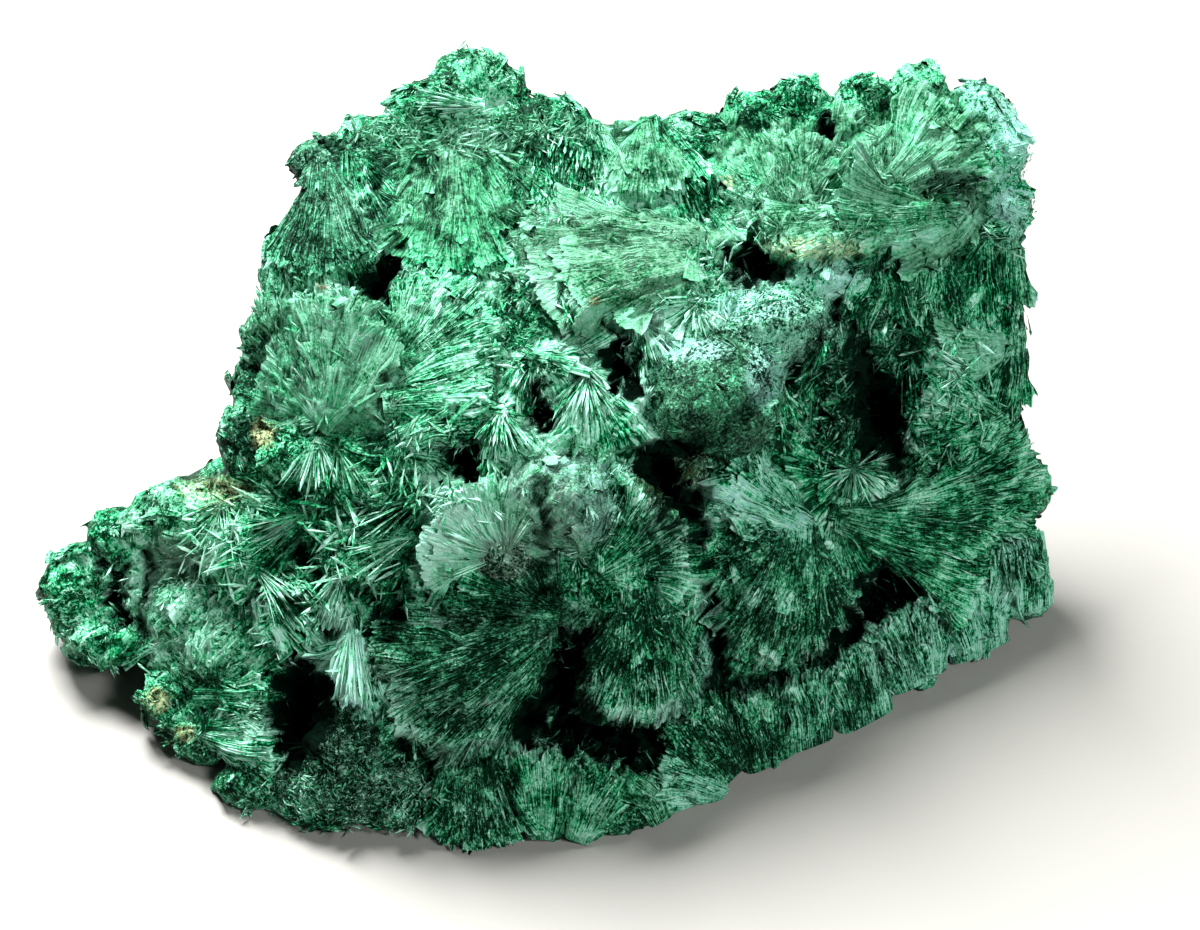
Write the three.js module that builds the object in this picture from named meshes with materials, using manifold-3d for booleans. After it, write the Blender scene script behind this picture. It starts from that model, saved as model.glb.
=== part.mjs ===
// A hand specimen of fibrous malachite, in mm, +Z up, resting on a flat spot at Z = 0.
// It is one natural piece: fans and sheaves of silky crystals grown together, with a smooth,
// knobbly skin over its rims, back and underside.
import * as THREE from "three";
import { ConvexGeometry } from "three/addons/geometries/ConvexGeometry.js";
import { mergeVertices } from "three/addons/utils/BufferGeometryUtils.js";
import Module from "manifold-3d";

const wasm = await Module();
wasm.setup();

// The show side is described from a viewpoint in front of it and above it.
// u runs to the right, v up and w towards the viewer, from the middle of the specimen.
const MIDDLE = new THREE.Vector3(4.4, -7.1, 23.6);
const VIEW_PITCH = THREE.MathUtils.degToRad(45);
const VIEW_DISTANCE = 200;

// The show side follows four rough faces, w = rise + across * u + up * v, rounded where they meet.
const FACES = [
  { name: "top", rise: 6, across: 0, up: -0.5 },
  { name: "front", rise: 4.6, across: 0, up: 0.22 },
  { name: "right", rise: 6, across: -0.59, up: 0.235 },
  { name: "left", rise: 14, across: 0.6, up: 0.05 },
];
const EDGE_ROUNDING = 1.2;
const CORE_DEPTH = 2.1;
const ROOT_DEPTH = 0.6;

// The massive core, as outlines of its show side in u, v and points of its hidden side in X, Y, Z.
const MAIN_CORE_OUTLINE = [
  [-28, -25.4], [-32, -20], [-30, -8], [-28.4, 2], [-26.4, 10], [-25, 18], [-20.6, 24], [-15, 26.6],
  [-8, 26.8], [4, 24.6], [15, 26.6], [24, 29], [30, 26.6], [32, 20], [32.4, 12], [32.2, 5],
  [33.2, -4], [33.4, -12.2], [21, -19], [8, -25.4], [0, -28.6], [-10, -29.4], [-20, -28.2],
];
const MAIN_CORE_CREST = [
  [-20, -4], [-16, 3], [-8, 2.5], [0, 2.5], [6, 4], [12, 9], [18, 14], [24, 17], [0, -10],
  [-4, -20], [-16, -16], [12, -4], [22, 4],
];
const MAIN_CORE_BACK = [
  [-21.5, -9.5, -1], [-10.5, -21.5, -1], [9.5, -21.5, -1], [23.5, -9.5, -1], [29.5, 2.5, -1],
  [21.5, 10.5, -1], [-12.5, 10.5, -1], [-22.5, 12.5, 16], [-4.5, 18.5, 16], [15.5, 19.5, 17],
  [30.5, 15.5, 18], [-14.5, 18.5, 32], [7.5, 20.5, 34], [27.5, 20.5, 34],
];
const LEFT_CORE_OUTLINE = [
  [-42.5, -10], [-39.5, -5.5], [-34, -3.5], [-28, 0], [-27, -21], [-34, -18], [-39, -14.5],
];
const LEFT_CORE_BACK = [
  [-30.5, -5.5, -1], [-24.5, 8.5, -1], [-34, -1, 1.5], [-33, 3, 2], [-34.5, -1.5, 6], [-24.5, 9, 12],
];

// Fans and sheaves: name, narrow end [u, v, lift], middle of the rim [u, v, lift], half spread in
// degrees, thickness at the rim, then roll about the length in degrees, bulge as a share of the
// length and half width of the narrow end. Lift is the height over the show side's rough face.
const SHEAVES = [
  ["peak bundle", [-9.2, 28.6, 0.2], [-14.4, 28.3, 0.6], 3, 1.8, 0, 0, 0.9],
  ["left shoulder edge", [-22.2, 24.8, -0.4], [-23.6, 15.6, 0.2], 9, 4, -8, 0.08, 1.2],
  ["left shoulder", [-22, 24, -0.4], [-20, 16, 0.6], 17, 3.2, 4, 0.04, 0.9],
  ["left shoulder trough", [-20, 25.2, -1.2], [-17, 17.8, -2.2], 15, 2.4, 12, 0, 0.9],
  ["top pale sheaf", [-11.5, 25.6, -0.2], [-10.8, 15.6, 0.6], 19, 3.6, 0, 0.03, 1.4],
  ["top pale sheaf left", [-14, 25.4, -0.8], [-15, 16.4, -0.8], 10, 3, -10, 0, 0.9],
  ["top pale sheaf right", [-9.6, 25.2, -0.3], [-4.6, 19.4, 0.2], 12, 2.6, 8, 0, 0.8],
  ["back fibres left", [-4.2, 27.2, -0.4], [-5, 20.8, -0.4], 20, 2.6, 0, 0, 1.4],
  ["back fibres middle", [-1, 27.6, -0.3], [-0.8, 20.8, -0.8], 14, 2.4, 4, 0, 1.2],
  ["tent", [3.6, 27.9, 0.6], [3.3, 21.7, 0.8], 28, 4.4, 0, 0.05, 0.6],
  ["tent wing", [4.6, 27.4, 0.1], [7.6, 21.9, 0], 15, 2.6, 12, 0, 0.6],
  ["top matte fan", [8.4, 18, 0.4], [-6.2, 18.2, 1.8], 17, 5, -6, 0.03, 1.6],
  ["top matte fan front", [7.4, 16.6, 0.6], [-3, 14.4, 2.2], 14, 4.6, 4, 0.04, 1.6],
  ["top right small fan", [14, 20.6, 0], [11.4, 25, 0.6], 24, 2.6, 0, 0.04, 0.8],
  ["top right fan", [15.8, 20.6, 0.2], [16.4, 27, 0.9], 37, 3, 0, 0.05, 0.8],
  ["far right fan left", [21.8, 22.6, 0], [23, 27.2, 0.4], 36, 2.6, -8, 0.05, 0.8],
  ["far right fan", [22.8, 22, 0.2], [29.6, 27.4, 0.2], 26, 3.4, 8, 0.05, 0.9],
  ["right peak cone", [25.3, 32, -0.2], [25.2, 27.4, 0.6], 19, 3.2, 0, 0, 0.7],
  ["right slab", [30.2, 30.2, -1.6], [33, 27.4, -2], 5, 2, 0, 0, 1.1],
  ["pale ledge", [30, 20.2, -0.6], [19.4, 18.6, 1.2], 11, 3.4, -4, 0.03, 1.1],
  ["pale ledge left", [22, 20.2, 0.4], [14, 17.9, 1.4], 21, 3.2, 0, 0.03, 1.2],
  ["left pale fan", [-22.2, 3.4, 0.6], [-22, 13.9, 1.6], 27, 2.8, 0, -0.03, 0.9],
  ["left pale fan right", [-20.6, 4, 0], [-16.6, 12.4, 0.6], 15, 2.4, 10, 0, 0.8],
  ["centre left fan", [-16, 8.2, -0.4], [-10.2, 13.9, 1.2], 48, 3, 0, 0.03, 1],
  ["centre left spray", [-17.4, 5.2, 0], [-8.8, 6.3, 0.6], 15, 2.6, 0, 0.03, 1.2],
  ["centre left base", [-16, 2.2, -0.2], [-10.4, 4.2, 0], 24, 2.4, 0, 0.05, 1.2],
  ["left hanging blades", [-22.6, 2.2, -0.6], [-22, -2.4, 0], 20, 2.4, 0, 0, 0.8],
  ["left hanging blades right", [-21, 1.2, -0.6], [-19.2, -2.8, 0], 18, 2.4, 12, 0, 0.7],
  ["centre hanging spray", [-8, 4.2, 0], [-8, 0.4, -0.8], 30, 2.4, 0, 0, 0.8],
  ["needle spray", [-1, 7.2, -1], [-1.7, 3, -0.6], 38, 2.6, 0, 0.05, 0.6],
  ["needle spray left", [-5.4, 8.4, -1], [-4.6, 5, -1], 42, 2.2, 0, 0, 0.6],
  ["needle spray right", [3.3, 11.4, -0.8], [4.8, 7.2, 0], 18, 2.8, 8, 0, 0.6],
  ["needle star", [7.7, 12.8, -1], [7.2, 9.8, -1], 30, 2, 0, 0, 0.5],
  ["hanging right 1", [22.8, 18.2, -0.8], [22.2, 11.6, -1.4], 18, 2.8, 0, 0.04, 1.3],
  ["hanging right 2", [27, 18.4, -0.8], [26.8, 11.4, -1], 17, 2.8, 6, 0.04, 1.3],
  ["hanging right 3", [30.6, 18.6, -0.6], [30.6, 11, -0.4], 15, 3, 10, 0.04, 1.1],
  ["right edge upper", [32.6, 18.6, -0.8], [33, 10.6, 0.4], 9, 3.2, 20, 0.04, 1],
  ["right edge lower", [33.2, 11, 0], [33, 3.4, 0.6], 9, 3.4, 16, 0.06, 1.2],
  ["right plates", [32.4, 9.4, 0.6], [27, 8.2, 0.6], 24, 3, 0, 0.03, 1.4],
  ["right lower plates", [32.6, 3, 0.4], [26.2, 6.2, 0.8], 13, 2.6, -8, 0.03, 1],
  ["right recess fibres", [24.4, 10.6, -2.2], [20.4, 3.6, -2.8], 22, 2.4, 0, 0, 1.4],
  ["star spray", [20.3, -0.2, -1.6], [20.5, -3.9, -1.2], 38, 1.8, 0, 0, 0.5],
  ["star spray left", [20.3, -0.2, -1.6], [17, 0.4, -1.4], 34, 1.8, 0, 0, 0.5],
  ["right lobe fan", [23, -4.2, -0.6], [35.2, -0.8, 0.6], 17, 4.4, 4, 0.05, 1.2],
  ["right lobe upper", [24.4, 0.8, -0.6], [32.2, 1.8, 0.2], 15, 3, 8, 0.03, 1],
  ["right lower fan", [19, -4.2, 0.2], [31.4, -7, 0.8], 18, 4, -4, 0.05, 1.2],
  ["dark fan", [16.2, -4.2, 1.4], [13, -16, 0.6], 30, 5.6, 0, 0.1, 1.6],
  ["dark fan top", [17.2, -5.2, 1.4], [9.8, -1.8, 1.6], 12, 2.6, 0, 0.04, 0.8],
  ["radial end", [-7.6, -7.4, 1], [-12.2, -2.8, 1.2], 76, 3.8, 0, 0, 0.8],
  ["bright blade", [0, -8.6, 1.4], [6.2, -3.4, 0.6], 42, 3.4, 6, 0.06, 1.2],
  ["lower front fan", [3.2, -9.6, 0.6], [3.6, -20.8, 1.4], 31, 5.4, 0, 0.1, 1.6],
  ["big lower fan", [-3.8, -13.2, 0.4], [-15.8, -20.8, 0.4], 28, 6, 0, 0.1, 1.6],
  ["lower column", [-10.4, -21, 0], [-10.4, -30.6, 0.2], 21, 4.4, 0, 0.06, 1.8],
  ["rim spray 1", [-4.6, -30, 0], [-4.4, -22.8, 0.2], 23, 3.2, 0, 0.04, 1.4],
  ["rim spray 2", [-1.8, -30.2, 0], [0.4, -24.8, 0], 26, 3, 0, 0.04, 1.3],
  ["rim spray 3", [5, -28.6, 0], [3.4, -25, -0.6], 24, 2.6, 0, 0.04, 1.2],
  ["rim blue sheaf", [10, -26.4, 0.2], [5, -24.8, 0.2], 18, 2.6, 0, 0.04, 1],
  ["rim spray 4", [10.8, -25, 0], [7, -19.8, 0], 30, 3, 0, 0.05, 1.3],
  ["rim spray 5", [14, -24, 0], [12.6, -18, 0], 27, 3.2, 0, 0.05, 1.4],
  ["rim spray 6", [17, -22.6, 0], [16.2, -16.8, 0], 25, 3, 0, 0.05, 1.3],
  ["rim spray 7", [21.6, -20.8, 0], [20, -15.2, 0.2], 24, 3, 0, 0.05, 1.3],
  ["rim spray 8", [26, -17.4, 0.2], [24.2, -11, 0.2], 34, 3, 0, 0.05, 1],
  ["rim spray 9", [31, -15, 0], [29.6, -9.4, -0.2], 28, 3.2, 0, 0.05, 1.4],
  ["rim spray 10", [34.8, -11.6, 0.2], [34.2, -5.8, 0], 17, 3, 0, 0.05, 1.4],
  ["left low sheaf", [-32, -21.4, 0.4], [-26.5, -22.2, 0.4], 30, 2.8, 0, 0.04, 0.9],
  ["left low spray", [-32.6, -18.6, 0.8], [-26.8, -19, 0.6], 13, 2, 0, 0, 0.8],
  ["bright hanging spray", [-19.8, -13.8, 0.8], [-19.8, -19.2, 0.6], 19, 2, 0, 0, 1.2],
  ["left blade", [-27.2, -8.4, -1.2], [-23.4, -12, 1], 13, 1.8, 8, 0, 0.7],
  ["left blade leaning", [-20.6, -8.6, -1.2], [-22.3, -12.6, 1], 16, 1.8, -8, 0, 0.7],
  ["left loose sheaf 1", [-14.6, -2.8, 0], [-19.6, -5.6, -0.2], 12, 2, 0, 0, 0.7],
  ["left loose sheaf 2", [-14.8, -5.6, 0], [-20, -8.2, -0.2], 13, 2, 0, 0, 0.7],
  ["left loose sheaf 3", [-23.6, -4, -1], [-28.8, -6.8, 0.6], 15, 2, 0, 0, 0.7],
  ["lower dark facet", [-3.4, -12.4, 0.4], [-11.8, -11.8, 0.2], 15, 3, 0, 0.04, 1.2],
];

// Rounded lumps: name, middle [u, v, lift of the top over the rough face], half sizes in u, v, w.
const LUMPS = [
  ["peak", [-10, 29.8, 0.6], [4.2, 4, 3.8]],
  ["peak shoulder", [-14.2, 28, 0.2], [3.4, 3, 3.4]],
  ["left shoulder knob", [-22.3, 24, -0.2], [2.9, 2.6, 3]],
  ["left shoulder rim", [-25.4, 15, -0.8], [1.9, 4.2, 3]],
  ["back edge left", [-18.4, 25.6, 0], [2.6, 2.6, 3]],
  ["back edge middle", [-4.6, 27.2, -0.2], [4.6, 2.3, 3.2]],
  ["back edge right", [7.4, 26, -0.4], [3.4, 2.4, 3.2]],
  ["hump", [16, 29, 0.2], [2.7, 2.6, 3.2]],
  ["hump left", [12.4, 28, 0.1], [3, 2.2, 3]],
  ["right knob", [21.2, 29.2, 0], [3, 2.3, 3]],
  ["right peak", [25.6, 30.2, -0.2], [2.6, 2.2, 3]],
  ["right rim 1", [30.4, 28.4, -0.6], [2.4, 2.4, 3.4]],
  ["right rim 2", [32, 25, -0.2], [2.3, 3.2, 3.6]],
  ["right rim 3", [32.2, 20.6, 0.2], [2.4, 3.4, 3.8]],
  ["top saddle", [11.6, 20.6, 0.2], [3.2, 3.2, 3.2]],
  ["felted hollow", [-5.2, 11.6, -0.6], [4, 4.4, 3.4]],
  ["small crystal knob", [7.6, 14.4, -0.2], [3.4, 2, 3]],
  ["round lump", [9, 5.4, 2.8], [5.6, 4.7, 5]],
  ["blue lump", [14.4, 10.8, 2.2], [4.9, 3.6, 4.4]],
  ["bright knob", [18.2, 14.8, 0.8], [2.8, 1.4, 3]],
  ["left rim 1", [-26.8, 10.2, -1.4], [2.2, 2.8, 3]],
  ["left rim 2", [-27.2, 6.4, -1], [2.6, 3, 3.4]],
  ["left rim 3", [-28, 2, 0], [3, 3, 3.6]],
  ["left base", [-22.8, 0.6, 0], [4.4, 3, 3.6]],
  ["left body 1", [-33.4, -4.6, 0.4], [5, 3.8, 4.4]],
  ["left body 2", [-27.6, -6.4, 0.2], [5, 5, 4.4]],
  ["left body 3", [-32.8, -11.2, 0.6], [4.8, 4.6, 4.6]],
  ["left body 4", [-29, -14.8, 0.4], [4.6, 3.6, 4]],
  ["left cream knob", [-34.2, -18.8, 0.6], [2.9, 3, 3]],
  ["left cream knob low", [-32.2, -21, 0], [2.3, 1.9, 2.6]],
  ["left lobe top", [-38.6, -5.6, 0.4], [3.2, 2.6, 3.6]],
  ["left lobe", [-41.2, -10, 0.4], [3.9, 4.6, 4.2]],
  ["left lobe low", [-39.6, -14, 0.4], [3.4, 2.7, 3.6]],
  ["hollow floor", [-18.4, -6.6, -1], [5.2, 5, 3.6]],
  ["central lump", [-3, -2.6, 2.2], [5.4, 4.4, 4.8]],
  ["radial end spot", [-7.8, -7.6, 1.8], [1.9, 1.7, 1.8]],
  ["blade foot", [1.2, -8.8, 0.8], [4.4, 3.4, 3.6]],
  ["dark fan shoulder", [11.4, -5.6, 1.2], [4, 4, 4.4]],
  ["right recess knob", [16.6, 3, -1.2], [3.6, 4, 3.4]],
  ["hanging lumps", [-17.4, -16.4, 0.8], [1.7, 1.6, 2]],
  ["black grains", [-20.4, -22, 0.2], [3.8, 3, 3.4]],
  ["bottom grains left", [-21.2, -26.2, 0.6], [4.6, 2.9, 3.4]],
  ["bottom grains right", [-16, -26.4, 0.4], [3.2, 3.2, 3.2]],
  ["bottom left edge", [-27.6, -25.6, 0.4], [3.6, 2.7, 3.2]],
  ["left low edge", [-31.4, -22, 0], [2.8, 2.6, 3]],
  ["front left edge", [-22, -27.4, 0.2], [4, 1.9, 3]],
  ["right lobe rim", [34.4, -2, 0], [2, 3, 3.2]],
  ["right low rim", [34.6, -10, 0], [1.9, 3, 3]],
  ["rim knob 2", [1.4, -28.6, -0.2], [3.8, 2.2, 3]],
  ["rim knob 4", [25.4, -17.6, -0.4], [3, 1.6, 2.8]],
];

// Openings between the crystals: name, outline in u, v and depth below the rough face.
const HOLLOWS = [
  ["upper left hole", [[-19.8, 14], [-15.8, 17.4], [-15.9, 15], [-17.2, 13.4], [-19, 13.1]], 7],
  ["top notch", [[16.8, 27.4], [17.6, 25.6], [19, 26], [18.6, 27.8]], 2.6],
  ["cleft under the ledge", [[9.8, 17.4], [15.2, 16.6], [14.4, 14.2], [10.6, 14.2]], 7],
  ["hollow by the needles", [[0.2, 9.6], [3.4, 9.4], [3, 5.4], [1, 5.8]], 6],
  ["hollow by the left spray", [[-5.6, 6.4], [-4.4, 6.2], [-3.8, 2.6], [-5.6, 3]], 6],
  ["hollow in the middle left", [[-12.6, 1.8], [-10, 2.2], [-9.6, -0.8], [-12, -1.2]], 6],
  ["right hollow", [[20.2, 7], [24, 6.6], [23.6, 1.6], [21.2, 1]], 7],
  ["middle notch", [[2.8, 0.4], [5.6, 0.6], [6.8, -3.6], [5.6, -4.8]], 7],
  ["right hole", [[24, -7.2], [20.8, -9], [20.2, -11.2], [18.4, -14.8], [22.4, -12.8], [26.4, -10.6]], 9],
  ["gap in the lower front", [[-4.2, -13.4], [-1.4, -13.4], [-1.4, -18.6], [-4, -18.8]], 8],
  ["long slot", [[-6.4, -19.4], [-1, -20.4], [5, -21.8], [4.6, -24.4], [0, -24], [-6, -23]], 8],
  ["left hole", [[-23, -15.8], [-20.9, -18.4], [-23, -22.6], [-25, -24.6], [-27.2, -23.2], [-26, -17.5]], 5.5],
  ["left lobe pit", [[-39.6, -7.8], [-37.6, -8], [-37.6, -12.2], [-39.2, -12.4]], 3.5],
];

// The knobbly skin of the back and the underside, in rows of rounded knobs.
const SKIN_ROWS = [
  { height: 6, reach: 15.5, halfWidth: 23, middle: 4.5, knobs: 5, radius: 7 },
  { height: 16, reach: 22.5, halfWidth: 23, middle: 5.5, knobs: 5, radius: 8 },
  { height: 26.5, reach: 25.5, halfWidth: 22, middle: 6, knobs: 5, radius: 7 },
];
const SKIN_BOW = 6;

const SKIN_SIZE_RANGE = 0.14;
const SKIN_STRAY = { across: 1.4, reach: 1, height: 1.6 };
const SKIN_WIDENING = 1.1;

// How finely a sheaf is faceted, how square its section is and how uneven its rim and face are.
const LONG_SHEAF = 8;
const FLAT_BULGE = 0.05;
const LEAST_NARROW_THICKNESS = 0.45;
const SECTION_SQUARENESS = 0.75;
const RIM_START = 0.9;
const RIM_RAGGEDNESS = 0.06;
const RIM_MIDDLE_REACH = 1.02;
const RIB_HEIGHT = 0.3;

const LUMP_WAVES = 3;
const LUMP_WAVE_PITCH = 3;
const LUMP_ROUGHNESS = 0.06;
const SMALL_LUMP = 3.3;
const BIG_LUMP = 5.1;

const HOLLOW_REACH = 6;
const HOLLOW_NARROWING = 0.35;
const WELD_DISTANCE = 1e-3;
const BASE_CUT = 60;
const SEEDS = { sheaves: 1, lumps: 200, skinRows: 400, skinKnobs: 420 };

// Repeatable random numbers between -1 and 1.
function random(seed) {
  let state = seed * 7919 + 17;
  return () => {
    state = (Math.imul(state ^ (state >>> 15), 2246822519) + 2654435769) | 0;
    const mixed = Math.imul(state ^ (state >>> 13), 3266489917);
    return ((mixed ^ (mixed >>> 16)) >>> 0) / 2147483648 - 1;
  };
}

// The rough face's w at a place of the show side.
function faceDepth(u, v) {
  const sum = FACES.reduce((total, face) => {
    const w = face.rise + face.across * u + face.up * v;
    return total + Math.exp(-w / EDGE_ROUNDING);
  }, 0);
  return -EDGE_ROUNDING * Math.log(sum);
}

// A place seen at u, v and lying at w, in the specimen's own frame.
function fromView(u, v, w) {
  const scale = (VIEW_DISTANCE - w) / VIEW_DISTANCE;
  const seenUp = v * scale;
  return new THREE.Vector3(
    MIDDLE.x + u * scale,
    MIDDLE.y + seenUp * Math.sin(VIEW_PITCH) - w * Math.cos(VIEW_PITCH),
    MIDDLE.z + seenUp * Math.cos(VIEW_PITCH) + w * Math.sin(VIEW_PITCH),
  );
}

function onFace(u, v, lift) {
  return fromView(u, v, faceDepth(u, v) + lift);
}

function faceNormal(u, v) {
  const step = 0.5;
  const across = onFace(u + step, v, 0).sub(onFace(u - step, v, 0));
  const up = onFace(u, v + step, 0).sub(onFace(u, v - step, 0));
  return across.cross(up).normalize();
}

function toSolid(geometry) {
  const bare = geometry.clone();
  bare.deleteAttribute("normal");
  bare.deleteAttribute("uv");
  const merged = mergeVertices(bare, WELD_DISTANCE);
  const vertProperties = new Float32Array(merged.attributes.position.array);
  const triVerts = new Uint32Array(merged.index.array);
  return new wasm.Manifold(new wasm.Mesh({ numProp: 3, vertProperties, triVerts }));
}

// Moves each vertex of a geometry to where a function puts it.
function warp(geometry, place) {
  const position = geometry.attributes.position;
  const vertex = new THREE.Vector3();
  for (let i = 0; i < position.count; i++) {
    vertex.fromBufferAttribute(position, i);
    const moved = place(vertex);
    position.setXYZ(i, moved.x, moved.y, moved.z);
  }
  return geometry;
}

// A fan: a closed tube bent open from its narrow end to a ragged rim, its face on the show side.
function sheaf([, narrow, rim, spread, thickness, roll, bulge, narrowWidth], seed) {
  const start = onFace(...narrow);
  const end = onFace(...rim);
  const along = end.clone().sub(start);
  const length = along.length();
  along.normalize();
  const out = faceNormal((narrow[0] + rim[0]) / 2, (narrow[1] + rim[1]) / 2);
  out.addScaledVector(along, -out.dot(along)).normalize();
  out.applyAxisAngle(along, THREE.MathUtils.degToRad(roll));
  const across = along.clone().cross(out);
  const halfSpread = THREE.MathUtils.degToRad(spread);
  const draw = random(seed);
  const sides = length > LONG_SHEAF ? 8 : 6;
  const rings = bulge > FLAT_BULGE ? 2 : 1;
  const ragged = Array.from({ length: sides }, () => [draw(), draw()]);
  const narrowThickness = Math.max(
    thickness * LEAST_NARROW_THICKNESS,
    narrow[2] + CORE_DEPTH + ROOT_DEPTH,
  );
  return warp(new THREE.CylinderGeometry(1, 1, 1, sides, rings), ({ x, y, z }) => {
    const share = y + 0.5;
    const turn = Math.round((Math.atan2(x, z) / (2 * Math.PI)) * sides);
    const [rimDraw, ribDraw] = ragged[(turn + sides) % sides];
    const onAxis = Math.hypot(x, z) < 0.5;
    const side = Math.sign(x) * Math.abs(x) ** SECTION_SQUARENESS;
    const face = Math.sign(z) * Math.abs(z) ** SECTION_SQUARENESS;
    const angle = side * halfSpread;
    const uneven = onAxis ? RIM_MIDDLE_REACH : 1 + RIM_RAGGEDNESS * rimDraw;
    const reach = length * share * (share > RIM_START ? uneven : 1);
    const deep = narrowThickness + (thickness - narrowThickness) * share;
    const rib = onAxis ? 0 : RIB_HEIGHT * ribDraw * share;
    const swell = bulge * length * 4 * share * (1 - share);
    return start
      .clone()
      .addScaledVector(along, reach * Math.cos(angle))
      .addScaledVector(across, reach * Math.sin(angle) + side * narrowWidth * (1 - share))
      .addScaledVector(out, ((face - 1) * deep) / 2 + swell + rib);
  });
}

// A faceted unit ball, finer for a larger lump.
function ball(widest) {
  if (widest < SMALL_LUMP) {
    return new THREE.IcosahedronGeometry(1, 0);
  }
  if (widest < BIG_LUMP) {
    return new THREE.OctahedronGeometry(1, 1);
  }
  return new THREE.IcosahedronGeometry(1, 1);
}

// A rounded lump with an uneven surface, its half sizes along u, v and w.
function lump(middle, halfSizes, seed) {
  const draw = random(seed);
  const waves = Array.from({ length: LUMP_WAVES }, () =>
    [draw(), draw(), draw(), draw()].map((value) => value * LUMP_WAVE_PITCH),
  );
  return warp(ball(Math.max(...halfSizes)), (vertex) => {
    const uneven = waves.reduce(
      (sum, [a, b, c, start]) => sum + Math.sin(vertex.x * a + vertex.y * b + vertex.z * c + start),
      0,
    );
    const size = 1 + LUMP_ROUGHNESS * uneven;
    const right = vertex.x * halfSizes[0] * size;
    const up = vertex.y * halfSizes[1] * size;
    const near = vertex.z * halfSizes[2] * size;
    return new THREE.Vector3(
      middle.x + right,
      middle.y + up * Math.sin(VIEW_PITCH) - near * Math.cos(VIEW_PITCH),
      middle.z + up * Math.cos(VIEW_PITCH) + near * Math.sin(VIEW_PITCH),
    );
  });
}

function core(outline, hiddenSide) {
  const shown = outline.map(([u, v]) => onFace(u, v, -CORE_DEPTH));
  const hidden = hiddenSide.map((point) => new THREE.Vector3(...point));
  return new ConvexGeometry([...shown, ...hidden]);
}

// A hole's tool: its outline, drawn from over the show side down to its depth.
function hollow([, outline, depth]) {
  const shape = new THREE.Shape(outline.map(([u, v]) => new THREE.Vector2(u, v)));
  const middle = outline.reduce((sum, [u, v]) => sum.add(new THREE.Vector2(u, v)), new THREE.Vector2());
  middle.divideScalar(outline.length);
  const height = depth + HOLLOW_REACH;
  const bar = new THREE.ExtrudeGeometry(shape, { depth: height, bevelEnabled: false });
  const floor = faceDepth(middle.x, middle.y) - depth;
  return warp(bar, ({ x, y, z }) => {
    const narrowing = 1 - HOLLOW_NARROWING * (1 - z / height);
    const u = middle.x + (x - middle.x) * narrowing;
    const v = middle.y + (y - middle.y) * narrowing;
    return fromView(u, v, floor + z);
  });
}

function skinKnobs() {
  return SKIN_ROWS.flatMap((skinRow, row) => {
    const draw = random(SEEDS.skinRows + row);
    return Array.from({ length: skinRow.knobs }, (_, i) => {
      const share = (i / (skinRow.knobs - 1)) * 2 - 1;
      const size = skinRow.radius * (1 + SKIN_SIZE_RANGE * draw());
      const middle = new THREE.Vector3(
        skinRow.middle + share * skinRow.halfWidth + draw() * SKIN_STRAY.across,
        skinRow.reach - SKIN_BOW * share ** 2 - size + draw() * SKIN_STRAY.reach,
        skinRow.height + draw() * SKIN_STRAY.height,
      );
      return lump(middle, [size * SKIN_WIDENING, size, size], SEEDS.skinKnobs + row * 10 + i);
    });
  });
}

const joined = [
  core([...MAIN_CORE_OUTLINE, ...MAIN_CORE_CREST], MAIN_CORE_BACK),
  core(LEFT_CORE_OUTLINE, LEFT_CORE_BACK),
  ...SHEAVES.map((row, i) => sheaf(row, SEEDS.sheaves + i)),
  ...LUMPS.map(([, [u, v, lift], halfSizes], i) => {
    const middle = fromView(u, v, faceDepth(u, v) + lift - halfSizes[2]);
    return lump(middle, halfSizes, SEEDS.lumps + i);
  }),
  ...skinKnobs(),
].map(toSolid);

let specimen = joined.reduce((whole, piece) => whole.add(piece));
for (const tool of HOLLOWS.map(hollow)) {
  specimen = specimen.subtract(toSolid(tool));
}
const below = new THREE.BoxGeometry(2 * BASE_CUT, 2 * BASE_CUT, BASE_CUT);
below.translate(0, 0, -BASE_CUT / 2);
specimen = specimen.subtract(toSolid(below));

// Gaps sealed deep between the sheaves are filled: the largest closed surface is the outer one.
const outer = specimen.decompose().reduce((most, one) => (one.volume() > most.volume() ? one : most));

const mesh = outer.getMesh();
const geometry = new THREE.BufferGeometry();
geometry.setAttribute("position", new THREE.BufferAttribute(mesh.vertProperties, 3));
geometry.setIndex(new THREE.BufferAttribute(mesh.triVerts, 1));
geometry.computeVertexNormals();

const malachite = new THREE.Mesh(
  geometry,
  new THREE.MeshStandardMaterial({ color: 0x1f7a52, roughness: 0.55, metalness: 0 }),
);
malachite.name = "malachite";

const part = new THREE.Group();
part.add(malachite);
export default part;
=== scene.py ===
import math

import bpy
import numpy as np
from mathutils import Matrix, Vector, kdtree, noise


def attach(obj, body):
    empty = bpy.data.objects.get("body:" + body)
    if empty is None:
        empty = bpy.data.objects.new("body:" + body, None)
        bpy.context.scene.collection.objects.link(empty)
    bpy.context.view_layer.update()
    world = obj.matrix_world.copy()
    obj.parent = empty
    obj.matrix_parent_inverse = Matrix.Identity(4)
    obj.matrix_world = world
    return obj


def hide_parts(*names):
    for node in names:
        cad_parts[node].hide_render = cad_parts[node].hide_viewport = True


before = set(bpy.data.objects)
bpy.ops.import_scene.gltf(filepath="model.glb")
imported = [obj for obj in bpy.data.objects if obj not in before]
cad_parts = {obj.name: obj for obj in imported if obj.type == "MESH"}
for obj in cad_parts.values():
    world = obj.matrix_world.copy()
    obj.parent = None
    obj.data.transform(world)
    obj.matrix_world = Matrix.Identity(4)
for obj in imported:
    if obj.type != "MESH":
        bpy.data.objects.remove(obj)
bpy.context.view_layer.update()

# Sizes and places are in millimetres until a mesh is made, then in metres.
MM = 0.001
NODE = "malachite"

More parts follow.
